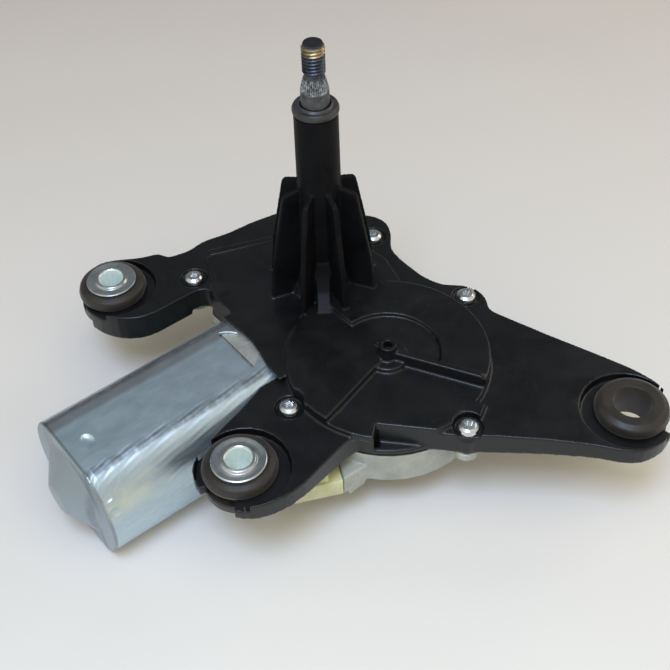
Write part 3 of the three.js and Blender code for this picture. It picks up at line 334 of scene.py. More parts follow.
class Material(Shading):
    """Procedural material on object coordinates in mm about the datum."""

    def __init__(self, name):
        self.material = bpy.data.materials.new(name)
        self.material.use_nodes = True
        super().__init__(self.material.node_tree)
        self.tree.nodes.clear()
        output = self.node("OutputMaterial")
        self.shader = self.node("BsdfPrincipled")
        self.feed(output.inputs[0], self.shader.outputs[0])
        mapping = self.node("Mapping")
        mapping.inputs["Scale"].default_value = (1000, 1000, 1000)
        mapping.inputs["Location"].default_value = (0, 0, -DATUM)
        self.feed(mapping.inputs["Vector"], self.node("TexCoord").outputs["Object"])
        self.place = mapping.outputs[0]
        self.normal = None

    def texture(self, kind, size, stretch):
        """Texture node with features about size mm across; a stretch under 1 lengthens them."""
        place = self.place
        if stretch:
            mapping = self.node("Mapping")
            mapping.inputs["Scale"].default_value = stretch
            self.feed(mapping.inputs["Vector"], place)
            place = mapping.outputs[0]
        node = self.node(kind)
        node.inputs["Scale"].default_value = 1.0 / size
        self.feed(node.inputs["Vector"], place)
        return node

    def noise(self, size, detail=4, rough=0.55, stretch=None, distortion=0.0):
        node = self.texture("TexNoise", size, stretch)
        node.inputs["Detail"].default_value = detail
        node.inputs["Roughness"].default_value = rough
        node.inputs["Distortion"].default_value = distortion
        return node.outputs["Fac"]

    def cells(self, size, stretch=None):
        return self.texture("TexVoronoi", size, stretch).outputs["Distance"]

    def axes(self):
        node = self.node("SeparateXYZ")
        self.feed(node.inputs[0], self.place)
        return node.outputs

    def plus(self, a, b):
        return self.math("ADD", a, b)

    def minus(self, a, b):
        return self.math("SUBTRACT", a, b)

    def times(self, a, by):
        return self.math("MULTIPLY", a, by)

    def over(self, a, length):
        return self.math("DIVIDE", a, length)

    def above(self, value, start, length):
        """0 at start, 1 a length above it."""
        return self.over(self.minus(value, start), length)

    def below(self, value, start, length):
        """0 at start, 1 a length below it."""
        return self.over(self.minus(start, value), length)

    def rise(self, value, start=0.3, end=0.7, low=0.0, high=1.0):
        """Level low up to start, then a climb to level high at end."""
        return self.ramp(value, [(start, low), (end, high)])

    def plateau(self, value, stops):
        """0, a climb to 1 between the first two stops, back to 0 between the last two."""
        return self.ramp(value, list(zip(stops, (0.0, 1.0, 1.0, 0.0))))

    def mottle(self, value, dark, light, start=0.35, end=0.7):
        return self.mix(self.rise(value, start, end), dark, light)

    def tint(self, base, colour, mask, amount):
        return self.mix(self.times(mask, amount), base, colour)

    def relief(self, value, depth, strength):
        """Adds bump of the given depth in mm."""
        node = self.node("Bump")
        node.inputs["Distance"].default_value = depth * MM
        node.inputs["Strength"].default_value = strength
        self.feed(node.inputs["Height"], value)
        if self.normal is not None:
            self.feed(node.inputs["Normal"], self.normal)
        self.normal = node.outputs[0]

    def done(self, base, rough, metallic=0.0, **more):
        settings = {"Base Color": base, "Roughness": rough, "Metallic": metallic, **more}
        if self.normal is not None:
            settings["Normal"] = self.normal
        for key, value in settings.items():
            self.feed(self.shader.inputs[key], value)
        return self.material


# ---------------------------------------------------------------- materials
def black_plastic():
    m = Material("glass_filled_black")
    fine = m.noise(size=0.35, detail=3, rough=0.6)
    flow = m.noise(size=14, distortion=0.6)
    fibre = m.noise(size=0.8, detail=3, rough=0.6, stretch=(1, 0.35, 1))
    scuff = m.rise(m.noise(size=5.5, detail=8, rough=0.72), start=0.60, end=0.72)
    dust = m.times(m.rise(m.noise(size=30, detail=5, rough=0.6), start=0.45, end=0.75),
                   by=m.rise(fine, start=0.45, end=0.75))
    speck = m.rise(m.cells(size=3.1), start=0.0, end=0.045, low=1.0, high=0.0)
    base = m.mottle(flow, dark=(0.0040, 0.0042, 0.0050), light=(0.0075, 0.0078, 0.0090))
    base = m.tint(base, (0.10, 0.095, 0.085), dust, amount=0.04)
    base = m.tint(base, (0.09, 0.09, 0.10), scuff, amount=0.03)
    base = m.tint(base, (0.30, 0.30, 0.30), speck, amount=0.35)
    rough = m.plus(m.rise(flow, end=0.72, low=0.24, high=0.34), m.times(scuff, by=0.10))
    rough = m.plus(rough, m.times(m.rise(fine), by=0.05))
    m.relief(fine, depth=0.018, strength=0.6)
    m.relief(fibre, depth=0.030, strength=0.5)
    m.relief(flow, depth=0.16, strength=0.40)
    axes = m.axes()
    x, y, z = axes["X"], axes["Y"], axes["Z"]
    shine = m.rise(m.over(z, length=40.0), start=0.0, end=0.5, low=0.40, high=0.16)
    # duller skin among the fins round the foot of the spindle tube, above the deck
    radius_squared = m.plus(m.times(x, by=x), m.times(y, by=y))
    near_tube = m.rise(m.over(radius_squared, 1000.0), start=0.50, end=0.72, low=1.0, high=0.0)
    foot = m.times(near_tube, by=m.rise(m.over(z, length=10.0), start=0.02, end=0.09))
    shine = m.times(shine, by=m.minus(1.0, m.times(foot, by=0.65)))
    rough = m.plus(rough, m.times(foot, by=0.16))
    return m.done(base, rough, **{"Specular IOR Level": shine})


def cap_plastic():
    m = Material("satin_black_cap")
    fine = m.noise(size=0.4, detail=3)
    base = m.mottle(m.noise(size=4, detail=5), start=0.4,
                    dark=(0.018, 0.018, 0.020), light=(0.040, 0.040, 0.043))
    m.relief(fine, depth=0.03, strength=0.6)
    return m.done(base, m.rise(m.noise(size=3), low=0.30, high=0.48))


def rubber():
    m = Material("dark_brown_rubber")
    fine = m.noise(size=0.25, rough=0.65)
    broad = m.noise(size=6, detail=5, rough=0.6)
    bloom = m.rise(m.noise(size=3.2, detail=7, rough=0.7), start=0.48, end=0.75)
    base = m.mottle(broad, start=0.3,
                    dark=(0.0085, 0.0072, 0.0062), light=(0.0180, 0.0140, 0.0110))
    base = m.tint(base, (0.060, 0.048, 0.038), bloom, amount=0.16)
    m.relief(fine, depth=0.03, strength=0.8)
    m.relief(broad, depth=0.15, strength=0.4)
    return m.done(base, m.rise(broad, end=0.75, low=0.40, high=0.60),
                  **{"Specular IOR Level": 0.45, "Sheen Weight": 0.12, "Sheen Roughness": 0.5})


def can_passivation_and_painted_light(m, base):
    """Painted reflections and shade of the pressed can, and its yellow passivation, laid over its
    base colour.
    """
    axes = m.axes()
    x, y, z = axes["X"], axes["Y"], axes["Z"]
    # painted reflection: dark patchy bands along both bends
    from_axis = m.math("ABSOLUTE", m.minus(y, MOTOR_Y))
    wobble = m.minus(m.noise(size=11, rough=0.6, stretch=(0.35, 1, 1)), 0.5)
    wobble = m.times(wobble, by=1.3)
    painted_bend_reflection = m.plateau(m.over(m.plus(from_axis, wobble), length=30.0), (0.42, 0.47, 0.53, 0.565))
    patchy = m.rise(m.noise(size=3.0, detail=5, rough=0.6), start=0.25, end=0.6, low=0.45)
    base = m.tint(base, (0.18, 0.20, 0.22), m.times(painted_bend_reflection, by=patchy), amount=0.88)
    # painted reflection: a wider brownish band beside the bend on the +y side
    far = m.plus(m.minus(y, MOTOR_Y), wobble)
    painted_far_reflection = m.plateau(m.over(far, length=30.0), (0.27, 0.33, 0.46, 0.50))
    base = m.tint(base, (0.27, 0.255, 0.25), painted_far_reflection, amount=0.58)
    # painted shade: the sheet is darker towards the table
    painted_low_shade = m.ramp(m.below(z, start=0.0, length=45.0),
                  [(0.03, 0.0), (0.12, 0.9), (0.27, 0.9), (0.52, 0.45)])
    base = m.tint(base, (0.30, 0.37, 0.42), painted_low_shade, amount=0.64)
    # painted shade: the closed end is darker still
    painted_tail_shade = m.rise(m.below(x, start=-119.4, length=10.0), start=0.0, end=0.06)
    base = m.tint(base, (0.27, 0.31, 0.35), painted_tail_shade, amount=0.62)
    # painted shade on the rim where the closed end meets the sides
    painted_rim_shade = m.plateau(m.below(x, start=-118.7, length=2.0), (0.0, 0.20, 0.50, 0.68))
    base = m.tint(base, (0.14, 0.15, 0.16), painted_rim_shade, amount=0.55)
    # faint yellow passivation in patches below the bends, not on the closed end
    low = m.plateau(m.below(z, start=0.0, length=40.0), (0.14, 0.21, 0.30, 0.46))
    patches = m.rise(m.noise(size=12, stretch=(0.5, 1, 1)), start=0.40, end=0.66)
    low = m.times(m.times(low, by=patches), by=m.minus(1.0, painted_tail_shade))
    return m.tint(base, (0.74, 0.76, 0.56), low, amount=0.55)


def zinc(name, dark, light, rough, pressed=False):
    """Zinc plate with grain along x; pressed adds the scratches of the can, its passivation and its
    painted reflections and shade.
    """
    m = Material(name)
    spangle = m.cells(size=1.6, stretch=(0.6, 1, 1))
    cloud = m.noise(size=6, detail=7, rough=0.68, stretch=(0.5, 1, 1), distortion=0.3)
    fine = m.noise(size=0.5, rough=0.6, stretch=(0.25, 1, 1))
    scratch = m.noise(size=1.2, detail=3, rough=0.5, stretch=(0.06, 1, 1))
    scratch = m.rise(scratch, start=0.60, end=0.66)
    stain = m.rise(m.noise(size=18, detail=5, rough=0.6), start=0.50, end=0.80)
    base = m.mottle(cloud, dark, light, start=0.30)
    base = m.tint(base, tuple(c * 0.72 for c in dark), m.rise(spangle, start=0.2, end=0.9),
                  amount=0.22)
    base = m.tint(base, (0.62, 0.61, 0.48), stain, amount=0.20)
    gloss = m.plus(m.rise(cloud, end=0.72, low=rough[0], high=rough[1]),
                   m.times(m.rise(spangle, start=0.1, end=0.9), by=0.04))
    gloss = m.minus(gloss, m.times(scratch, by=0.03))
    if pressed:
        base = can_passivation_and_painted_light(m, base)
    m.relief(cloud, depth=0.005, strength=0.4)
    m.relief(fine, depth=0.010, strength=0.5)
    if pressed:
        m.relief(scratch, depth=0.006, strength=0.5)
    return m.done(base, gloss, metallic=0.93)


def bore_painted_reflection():
    m = Material("bore_painted_reflection")
    line = m.noise(size=0.4, rough=0.6, stretch=(1, 1, 0.2))
    # painted reflection: the bore is coloured bright light cyan, far lighter than the bushing zinc
    base = m.mottle(line, dark=(0.66, 0.80, 0.80), light=(0.84, 0.94, 0.93))
    m.relief(line, depth=0.01, strength=0.5)
    return m.done(base, m.rise(m.noise(size=2), low=0.30, high=0.45), metallic=0.35)


def screw_zinc():
    m = Material("screw_zinc")
    cloud = m.noise(size=0.9, detail=5, rough=0.6)
    base = m.mottle(cloud, dark=(0.55, 0.58, 0.60), light=(0.78, 0.80, 0.78))
    m.relief(m.noise(size=0.3), depth=0.015, strength=0.6)
    return m.done(base, m.rise(cloud, low=0.16, high=0.34), metallic=1.0)


def shaft_steel():
    m = Material("shaft_steel")
    rings = m.noise(size=0.22, detail=3, rough=0.6, stretch=(0.12, 0.12, 1))
    cloud = m.noise(size=3.5, detail=6, rough=0.65)
    z = m.axes()["Z"]
    base = m.mottle(cloud, start=0.32, dark=(0.055, 0.058, 0.064), light=(0.13, 0.135, 0.145))
    # plated blue-grey thread with brassy crests near its upper end
    on_thread = m.rise(m.above(z, start=93.0, length=12.0), start=0.0, end=0.08)
    thread = m.mottle(cloud, start=0.3, dark=(0.030, 0.038, 0.050), light=(0.085, 0.100, 0.120))
    base = m.mix(on_thread, base, thread)
    brassy = m.plateau(m.above(z, start=101.0, length=3.6), (0.0, 0.2, 0.9, 1.0))
    patches = m.rise(m.noise(size=2.4), start=0.35, end=0.65, low=0.25)
    base = m.tint(base, (0.52, 0.40, 0.20), brassy, amount=patches)
    # bright knurl
    knurl = m.plateau(m.above(z, start=87.4, length=5.2), (0.0, 0.06, 0.94, 1.0))
    patches = m.rise(m.noise(size=0.9), start=0.4, end=0.65, high=0.85)
    base = m.tint(base, (0.52, 0.56, 0.60), knurl, amount=patches)
    # dark domed tip
    dome = m.rise(m.above(z, start=104.3, length=1.0), start=0.0, end=0.3)
    base = m.tint(base, (0.060, 0.062, 0.070), dome, amount=0.8)
    m.relief(rings, depth=0.010, strength=0.5)
    m.relief(cloud, depth=0.03, strength=0.5)
    return m.done(base, m.rise(cloud, end=0.72, low=0.26, high=0.46), metallic=0.9)


def steel(name, dark, light):
    m = Material(name)
    cloud = m.noise(size=4, detail=5, rough=0.6)
    line = m.noise(size=0.3, detail=3, rough=0.5, stretch=(1, 1, 0.15))
    base = m.mottle(cloud, dark, light)
    m.relief(line, depth=0.008, strength=0.6)
    return m.done(base, m.rise(cloud, low=0.25, high=0.42), metallic=1.0)


def nylon():
    m = Material("natural_nylon")
    cloud = m.noise(size=7, detail=5, rough=0.6)
    base = m.mottle(cloud, dark=(0.27, 0.295, 0.28), light=(0.37, 0.395, 0.38))
    m.relief(m.noise(size=0.5, rough=0.6), depth=0.02, strength=0.5)
    m.relief(cloud, depth=0.25, strength=0.4)
    return m.done(base, m.rise(m.noise(size=4), low=0.26, high=0.42),
                  **{"Subsurface Weight": 0.35, "Subsurface Radius": (0.9, 0.85, 0.7),
                     "Subsurface Scale": 0.003, "Specular IOR Level": 0.5})


def pale_plastic():
    m = Material("pale_green_plastic")
    cloud = m.noise(size=5, detail=5, rough=0.6)
    base = m.mottle(cloud, dark=(0.44, 0.47, 0.27), light=(0.58, 0.60, 0.40))
    m.relief(m.noise(size=0.45, rough=0.6), depth=0.02, strength=0.5)
    return m.done(base, m.rise(cloud, low=0.34, high=0.50),
                  **{"Subsurface Weight": 0.25, "Subsurface Radius": (0.8, 0.9, 0.5),
                     "Subsurface Scale": 0.002})


def winding():
    m = Material("enamelled_copper")
    wave = m.node("TexWave")
    wave.wave_type = "RINGS"
    wave.rings_direction = "X"
    wave.inputs["Scale"].default_value = 0.9
    wave.inputs["Distortion"].default_value = 1.5
    m.feed(wave.inputs["Vector"], m.place)
    wires = wave.outputs["Fac"]
    base = m.mix(wires, (0.30, 0.10, 0.04), (0.62, 0.26, 0.12))
    m.relief(wires, depth=0.25, strength=0.8)
    return m.done(base, m.rise(m.noise(size=2), low=0.25, high=0.40), metallic=0.85)


def plain(name, dark, light, rough, metallic=0.0, size=3.0, grain=0.3):
    """Cloudy two-tone material; size and grain are the feature sizes of clouds and relief."""
    m = Material(name)
    cloud = m.noise(size=size, detail=5, rough=0.6)
    base = m.mottle(cloud, dark, light)
    m.relief(m.noise(size=grain, rough=0.6), depth=0.02, strength=0.6)
    return m.done(base, m.rise(cloud, low=rough[0], high=rough[1]), metallic)


# colours are dark then light, followed by the roughness range
MATERIALS = {
    "black": black_plastic(),
    "cap": cap_plastic(),
    "rubber": rubber(),
    "zinc": zinc("zinc_sheet", (0.57, 0.70, 0.78), (0.66, 0.785, 0.86), (0.33, 0.42),
                 pressed=True),
    "screw": screw_zinc(),
    "bushing": zinc("bushing_zinc", (0.40, 0.43, 0.44), (0.58, 0.61, 0.61), (0.20, 0.36)),
    "bore": bore_painted_reflection(),
    "bracket": zinc("bracket_zinc", (0.62, 0.61, 0.57), (0.76, 0.75, 0.70), (0.42, 0.58)),
    "shaft": shaft_steel(),
    "steel": steel("turned_steel", (0.36, 0.37, 0.39), (0.52, 0.53, 0.55)),
    "clip": steel("phosphated_steel", (0.10, 0.10, 0.11), (0.18, 0.18, 0.19)),
    "nylon": nylon(),
    "pale": pale_plastic(),
    "winding": winding(),
    "gasket": plain("gasket_rubber", (0.010, 0.010, 0.010), (0.022, 0.021, 0.020), (0.6, 0.8)),
    "pom": plain("natural_gear_plastic", (0.56, 0.52, 0.42), (0.68, 0.64, 0.54), (0.3, 0.45)),
    "card": plain("brush_card", (0.16, 0.13, 0.09), (0.24, 0.20, 0.14), (0.5, 0.65)),
    "core": plain("lamination_steel", (0.12, 0.12, 0.13), (0.20, 0.20, 0.21), (0.4, 0.6),
                  metallic=0.9),
    "ferrite": plain("ferrite", (0.030, 0.030, 0.034), (0.055, 0.055, 0.060), (0.5, 0.7)),
    "copper": plain("bare_copper", (0.50, 0.22, 0.11), (0.72, 0.36, 0.20), (0.22, 0.4),
                    metallic=1.0),
    "brass": plain("contact_brass", (0.52, 0.38, 0.14), (0.68, 0.52, 0.24), (0.22, 0.4),
                   metallic=1.0),
    "bronze": plain("sintered_bronze", (0.24, 0.15, 0.07), (0.38, 0.25, 0.13), (0.45, 0.6),
                    metallic=0.9, size=1.0, grain=0.2),
    "carbon": plain("carbon_brush", (0.015, 0.015, 0.016), (0.035, 0.035, 0.036), (0.5, 0.65),
                    metallic=0.3),
}

# ---------------------------------------------------------------- gear housing
# spindle tube: (radius, z)
TUBE = [(0.0, 16.0), (8.9, 16.0), (8.65, 20), (8.0, 48), (7.78, 78.4), (7.4, TUBE_TOP),
        (0.0, TUBE_TOP)]
BORE_R, BORE_FLOOR = 6.45, 62.8
# thin lip on the deck beside the can: (x, y)
LIP = [(-41.9, 8.5), (-37.0, 8.5), (-37.0, -31.0), (-44.3, -31.0), (-43.6, -22.0),
       (-42.0, -15.5), (-40.9, -8.5), (-41.0, -2.0), (-41.6, 4.0)]
MARK, MARK_R, MARK_HALF_W = (12.0, -96.0), 3.3, 0.28     # round ejector mark


def make_housing():
    housing = copy_node("gear_housing", "housing_moulding")
    fuse(housing, lathe("tube_tool", TUBE, 128))      # smooth tube over the faceted one
    cut(housing, cylinder(BORE_R, BORE_FLOOR, TUBE_TOP + 2, 96))
    r0, r1, z0, z1 = MARK_R - MARK_HALF_W, MARK_R + MARK_HALF_W, -3.22, -2.0
    groove = [(r0, z0), (r1, z0), (r1, z1), (r0, z1)]
    cut(housing, lathe("mark_tool", groove, 64, MARK, closed=True))
    fuse(housing, prism("lip_tool", LIP, -1.05, 0.0))
    soften(housing, 0.42, 5)
    keep_main(housing)
    smooth(housing)
    finish(housing, "black", "gear_housing")


make_housing()

# ---------------------------------------------------------------- spindle
# ring on top of the tube: (radius, z, corner radius)
CAP = [(5.35, 79.3), (8.2, 79.3), (8.2, 80.4), (7.7, 81.5, 0.5), (6.3, 81.6), (5.35, 82.4),
       (5.35, 79.3)]
NECK_BASE, BODY_BASE = -14.5, -9.9       # steps at the lower end
KNURL_BASE, KNURL_TOP = 87.5, 92.2
THREAD_BASE, THREAD_TOP = 93.8, 104.5
PITCH = 1.25                             # M8 thread


def make_cap():
    cap = lathe("tube_cap_ring", rounded(CAP, 0.22)[:-1], 96, closed=True)
    smooth(cap, 40)
    finish(cap, "cap", "tube_cap")


def shaft_radius(a, z):
    """Radius of the shaft at angle a and height z."""
    if z < NECK_BASE:
        return 3.6
    if z < BODY_BASE:
        return 4.0
    if z < KNURL_BASE:
        return 4.97
    if z < KNURL_TOP:      # 36 teeth on a taper, fading at both ends
        t = (z - KNURL_BASE) / (KNURL_TOP - KNURL_BASE)
        fade = min(1.0, t * 7, (1 - t) * 9)
        tooth = abs(math.sin(a * 18)) ** 0.8
        return 4.95 - 1.15 * t ** 1.25 - 0.38 * fade * (1 - tooth)
    if z < THREAD_BASE:
        return 3.35
    if z < THREAD_TOP:
        phase = ((z - THREAD_BASE) / PITCH - a / (2 * math.pi)) % 1.0
        ridge = 1 - abs(2 * phase - 1)
        fade = min(1.0, (z - THREAD_BASE) / 0.6, (THREAD_TOP - z) / 0.35)
        return 3.30 + 0.66 * max(0.0, min(1.0, ridge * 1.3 - 0.12)) * max(0.0, fade)
    t = (z - THREAD_TOP) / (SHAFT_TIP - THREAD_TOP)
    return 3.45 - 0.22 * t * t


def make_shaft():
    heights = [-14.6, NECK_BASE + 0.01, BODY_BASE - 0.01, BODY_BASE + 0.01, 20, 60, 87.45]
    heights += [KNURL_BASE + 0.1 * i for i in range(47)]
    heights += [KNURL_TOP - 0.01, KNURL_TOP + 0.01, 93.75]
    heights += [THREAD_BASE + 0.07 * i for i in range(153)]
    heights += [THREAD_TOP + 0.1 * i for i in range(7)] + [105.16, SHAFT_TIP]
    n = 216
    rings = []
    for z in sorted(set(round(z, 3) for z in heights)):
        ring = []
        for i in range(n):
            a = 2 * math.pi * i / n
            r = shaft_radius(a, z)
            ring.append((r * math.cos(a), r * math.sin(a), z))
        rings.append(ring)
    shaft = skin("spindle_shaft", rings)
    smooth(shaft, 50)
    finish(shaft, "shaft", "wiper_shaft", body="spindle")


make_cap()
make_shaft()

# ---------------------------------------------------------------- grommets and bushings
# bushing section: (radius, z, corner radius)
SLEEVE = [(4.5, -15.2), (6.0, -15.2, 0.2), (6.0, -1.0, 0.2), (9.7, -1.0, 0.2),
          (9.75, -0.5, 0.25), (9.2, -0.25, 0.4), (7.6, -0.55, 0.8), (6.5, -0.35, 0.5),
          (5.9, 0.35, 0.7), (5.2, 0.55, 0.5), (4.6, 0.1, 0.6), (4.5, -1.2, 0.3), (4.5, -15.0)]
BORE_FACE_R = 4.75     # faces inside this radius count as the bore


def make_grommet(name, centre, bore, top):
    section = [      # (radius, z, corner radius)
        (bore, -14.6), (12.3, -14.6, 0.9), (13.0, -13.5, 0.9), (13.0, -10.5, 0.6),
        (10.1, -10.5, 0.3), (10.1, -6.0, 0.3), (12.9, -6.0, 0.5), (13.35, -4.6, 1.5),
        (12.6, -2.2, 1.8), (10.6, top, 1.0), (bore, top, 0.5), (bore, -14.0)]
    grommet = lathe(f"grommet_rubber_{name}", rounded(section, 0.4, 6), 112, centre, closed=True)
    smooth(grommet, 60)
    finish(grommet, "rubber", f"grommet_{name}")


def make_bushing(name, centre):
    sleeve = lathe(f"bushing_sleeve_{name}", rounded(SLEEVE, 0.2, 6), 112, centre, closed=True)
    smooth(sleeve, 50)
    finish(sleeve, "bushing", f"bushing_{name}")
    # the bore faces get the painted-reflection material
    sleeve.data.materials.append(MATERIALS["bore"])
    for face in sleeve.data.polygons:
        spot = face.center / MM
        if math.hypot(spot.x - centre[0], spot.y - centre[1]) < BORE_FACE_R:
            face.material_index = 1


for name, centre, bushed in MOUNTS:
    if bushed:
        make_grommet(name, centre, bore=6.3, top=-1.3)
        make_bushing(name, centre)
    else:
        make_grommet(name, centre, bore=6.9, top=-0.9)

# ---------------------------------------------------------------- cover screws
# (radius, z, corner radius)
SCREW = [(0.0, -16.2), (1.5, -16.2), (1.9, -15.6), (1.9, -4.0, 0.1), (3.75, -4.0, 0.12),
         (3.9, -3.3, 0.35), (3.6, -2.35, 0.7), (2.6, -1.55, 1.0), (1.2, -1.3, 1.0),
         (0.0, -1.27)]
STAR_R, STAR_WAVE, STAR_FLOOR = 1.52, 0.30, -2.9     # six-lobed socket


def make_screw(i, centre):
    screw = lathe(f"cover_screw_head_{i + 1}", rounded(SCREW, 0.15, 5), 64, centre)
    star = []
    for k in range(36):
        a = 2 * math.pi * k / 36 + i * 0.7
        r = STAR_R + STAR_WAVE * math.cos(6 * a)
        star.append((centre[0] + r * math.cos(a), centre[1] + r * math.sin(a)))
    cut(screw, prism("star_tool", star, STAR_FLOOR, 0.5))
    smooth(screw, 40)
    finish(screw, "screw", f"cover_screw_{i + 1}")


for i, centre in enumerate(SCREWS):
    make_screw(i, centre)

# ---------------------------------------------------------------- motor can
TAIL_EDGE = 0.7        # rounding where the closed end meets the sides
MOUTH_WALL = 0.93
# bearing boss on the closed end: (radius, x, corner radius)
BOSS = [(0.0, CAN_TAIL - 7.4), (6.0, CAN_TAIL - 7.4, 0.6), (17.8, CAN_TAIL - 0.1, 0.8),
        (18.4, CAN_TAIL + 0.4), (0.0, CAN_TAIL + 0.4)]
BOSS_HOLLOW = [(0.0, CAN_TAIL - 6.0), (4.6, CAN_TAIL - 6.0), (6.25, CAN_TAIL - 4.4),
               (6.25, CAN_TAIL + 2.5), (0.0, CAN_TAIL + 2.5)]
DENT_RISE = 0.35       # dent centres stand this far off the skin
SIDE_DENTS = [(-117.2, 33.3), (-116.5, 19.6)]      # x, degrees above the axis on the -y side
WINDOW_X, WINDOW_Y, WINDOW_R, WINDOW_HALF_ANGLE = -52.2, MOTOR_Y + 0.6, 12.2, 68.5


def can_ring(inset, n=22, max_step=1.6, softening=2):
    """Outline of the can in (y, z): round sides, flat top and bottom, softened corners."""
    r, h = CAN_R - inset, CAN_HALF_H - inset
    a = math.asin(h / r)
    corners = []
    for s in (0, 1):
        for i in range(n + 1):
            t = -a + 2 * a * i / n + s * math.pi
            corners.append((r * math.cos(t), r * math.sin(t)))
    ring = []
    for p, q in zip(corners, corners[1:] + corners[:1]):
        steps = max(1, int(math.hypot(q[0] - p[0], q[1] - p[1]) / max_step))
        for k in range(steps):
            ring.append((p[0] + (q[0] - p[0]) * k / steps, p[1] + (q[1] - p[1]) * k / steps))
    m = len(ring)
    for _ in range(softening):      # average each point with its neighbours
        ring = [tuple((ring[i - 1][c] + 2 * ring[i][c] + ring[(i + 1) % m][c]) / 4
                      for c in (0, 1)) for i in range(m)]
    return [(MOTOR_Y + y, MOTOR_Z + z) for y, z in ring]


def dent(obj, centre, normal, radius, depth):
    """Soft oval hollow pressed into a sheet."""
    bpy.ops.mesh.primitive_uv_sphere_add(segments=40, ring_count=24, radius=1.0)
    tool = bpy.context.object
    turn = Vector(normal).normalized().to_track_quat("Z", "Y")
    tool.data.transform(Matrix.Diagonal((radius * 1.35 * MM, radius * MM, depth * MM, 1)))
    tool.data.transform(turn.to_matrix().to_4x4())
    tool.data.transform(Matrix.Translation((Vector(centre) + Vector((0, 0, DATUM))) * MM))
    cut(obj, tool)


def clear_gearbox(obj):
    """Cuts away what would stand inside the round gearbox wall."""
    cut(obj, cylinder(WALL_R, -60, 5, 128, WHEEL))


def make_can():
    sections = []
    for k in range(6):      # tight rounded edge of the closed end
        t = k / 5 * math.pi / 2
        sections.append((CAN_TAIL + TAIL_EDGE * (1 - math.cos(t)),
                         can_ring(TAIL_EDGE * (1 - math.sin(t)))))
    sections += [(x, can_ring(0)) for x in (-117, -110, -100, -85, -70, -55)]
    sections += [(CAN_FRONT - 0.25, can_ring(0)), (CAN_FRONT, can_ring(0.2))]
    can = loft_x("motor_can_shell", sections)
    fuse(can, lathe("boss_tool", rounded(BOSS, 0.5, 5), 128, MOTOR, "x"))
    cut(can, loft_x("inside_tool", [
        (CAN_TAIL + CAN_WALL, can_ring(CAN_WALL)), (CAN_STEP - 0.4, can_ring(CAN_WALL)),
        (CAN_STEP - 0.2, can_ring(MOUTH_WALL)), (CAN_FRONT + 2, can_ring(MOUTH_WALL))]))
    cut(can, lathe("hollow_tool", BOSS_HOLLOW, 64, MOTOR, "x"))
    dent(can, (-111.8, -10.1, CAN_TOP + DENT_RISE), (0.15, 0, 1), radius=2.5, depth=1.3)
    for x, degrees in SIDE_DENTS:
        a = math.radians(degrees)
        normal = (0.0, -math.cos(a), math.sin(a))
        reach = CAN_R + DENT_RISE
        dent(can, (x, MOTOR_Y + normal[1] * reach, MOTOR_Z + normal[2] * reach), normal,
             radius=1.95, depth=1.2)
    # window in the top near the mouth: straight on the can side, arched on the gearbox side
    window = []
    for k in range(41):
        t = math.radians(-WINDOW_HALF_ANGLE + 2 * WINDOW_HALF_ANGLE * k / 40)
        window.append((WINDOW_X + WINDOW_R * math.cos(t), WINDOW_Y + WINDOW_R * math.sin(t)))
    cut(can, prism("window_tool", window, CAN_TOP - 5, CAN_TOP + 2))
    clear_gearbox(can)
    soften(can, 0.30, 2)
    smooth(can)
    finish(can, "zinc", "motor_can")


make_can()


# ---------------------------------------------------------------- end plate, cover, connector
def make_end_plate():
    plug = CAN_WALL + 0.4      # inset of the part inside the thicker can wall
    plate = loft_x("motor_end_plate", [
        (CAN_STEP - 3.0, can_ring(plug)), (CAN_STEP - 0.1, can_ring(plug)),
        (CAN_STEP + 0.1, can_ring(1.0)), (PLATE_FRONT - 0.4, can_ring(1.0)),
        (PLATE_FRONT, can_ring(1.4))])
    inside = can_ring(CAN_WALL + 2.0)
    cut(plate, loft_x("inside_tool", [(CAN_STEP - 4, inside), (PLATE_FRONT - 1.6, inside)]))
    # central bore, then two small holes set diagonally about it: radius, segments, (y, z)
    holes = [(7.9, 64, MOTOR)]
    holes += [(1.9, 32, (MOTOR_Y + s * 9.6, MOTOR_Z + s * 7)) for s in (-1, 1)]
    for radius, n, centre in holes:
        cut(plate, cylinder(radius, PLATE_FRONT - 3, PLATE_FRONT + 1, n, centre, "x"))
    clear_gearbox(plate)
    smooth(plate, 30)
    finish(plate, "bracket", "end_bracket")


def make_cover():
    cover = copy_node("lower_cover", "gearbox_cover")
    soften(cover, 0.42, 4)
    smooth(cover)
    finish(cover, "nylon", "lower_cover")


def make_connector():
    shell = copy_node("connector_housing", "connector_shell")
    modify(shell, "BEVEL", width=0.3 * MM, segments=3, limit_method="ANGLE",
           angle_limit=math.radians(40))
    bake(shell)
    keep_main(shell)
    smooth(shell, 40)
    finish(shell, "pale", "connector_housing")


make_end_plate()
make_cover()
make_connector()

# ---------------------------------------------------------------- finish of the CAD nodes
SLOT_MATERIAL = {
    "housing_plastic": "black", "cap_plastic": "cap", "cover_nylon": "nylon",
    "connector_plastic": "pale", "gear_plastic": "pom", "brush_card": "card",
    "rubber": "rubber", "gasket_rubber": "gasket", "zinc": "bushing", "steel": "steel",
    "dark_steel": "clip", "lamination": "core", "ferrite": "ferrite", "copper": "copper",
    "contact_brass": "brass", "bronze": "bronze", "carbon": "carbon",
}
slots = {part["node"]: part["material_slot"] for part in frame["record"]["subparts"]}
for name, obj in nodes.items():
    if name.startswith("winding"):
        key = "winding"
    elif name.startswith("motor_screw"):
        key = "screw"
    else:
        key = SLOT_MATERIAL[slots[name]]
    for slot in obj.material_slots:
        slot.link = "OBJECT"
        slot.material = MATERIALS[key]

# ---------------------------------------------------------------- floor
FLOOR_Z = MOTOR_Z - CAN_HALF_H - 0.3
FLOOR_HALF = 900
VIEW_X, VIEW_Y = 0.602, 0.799      # level direction away from the camera


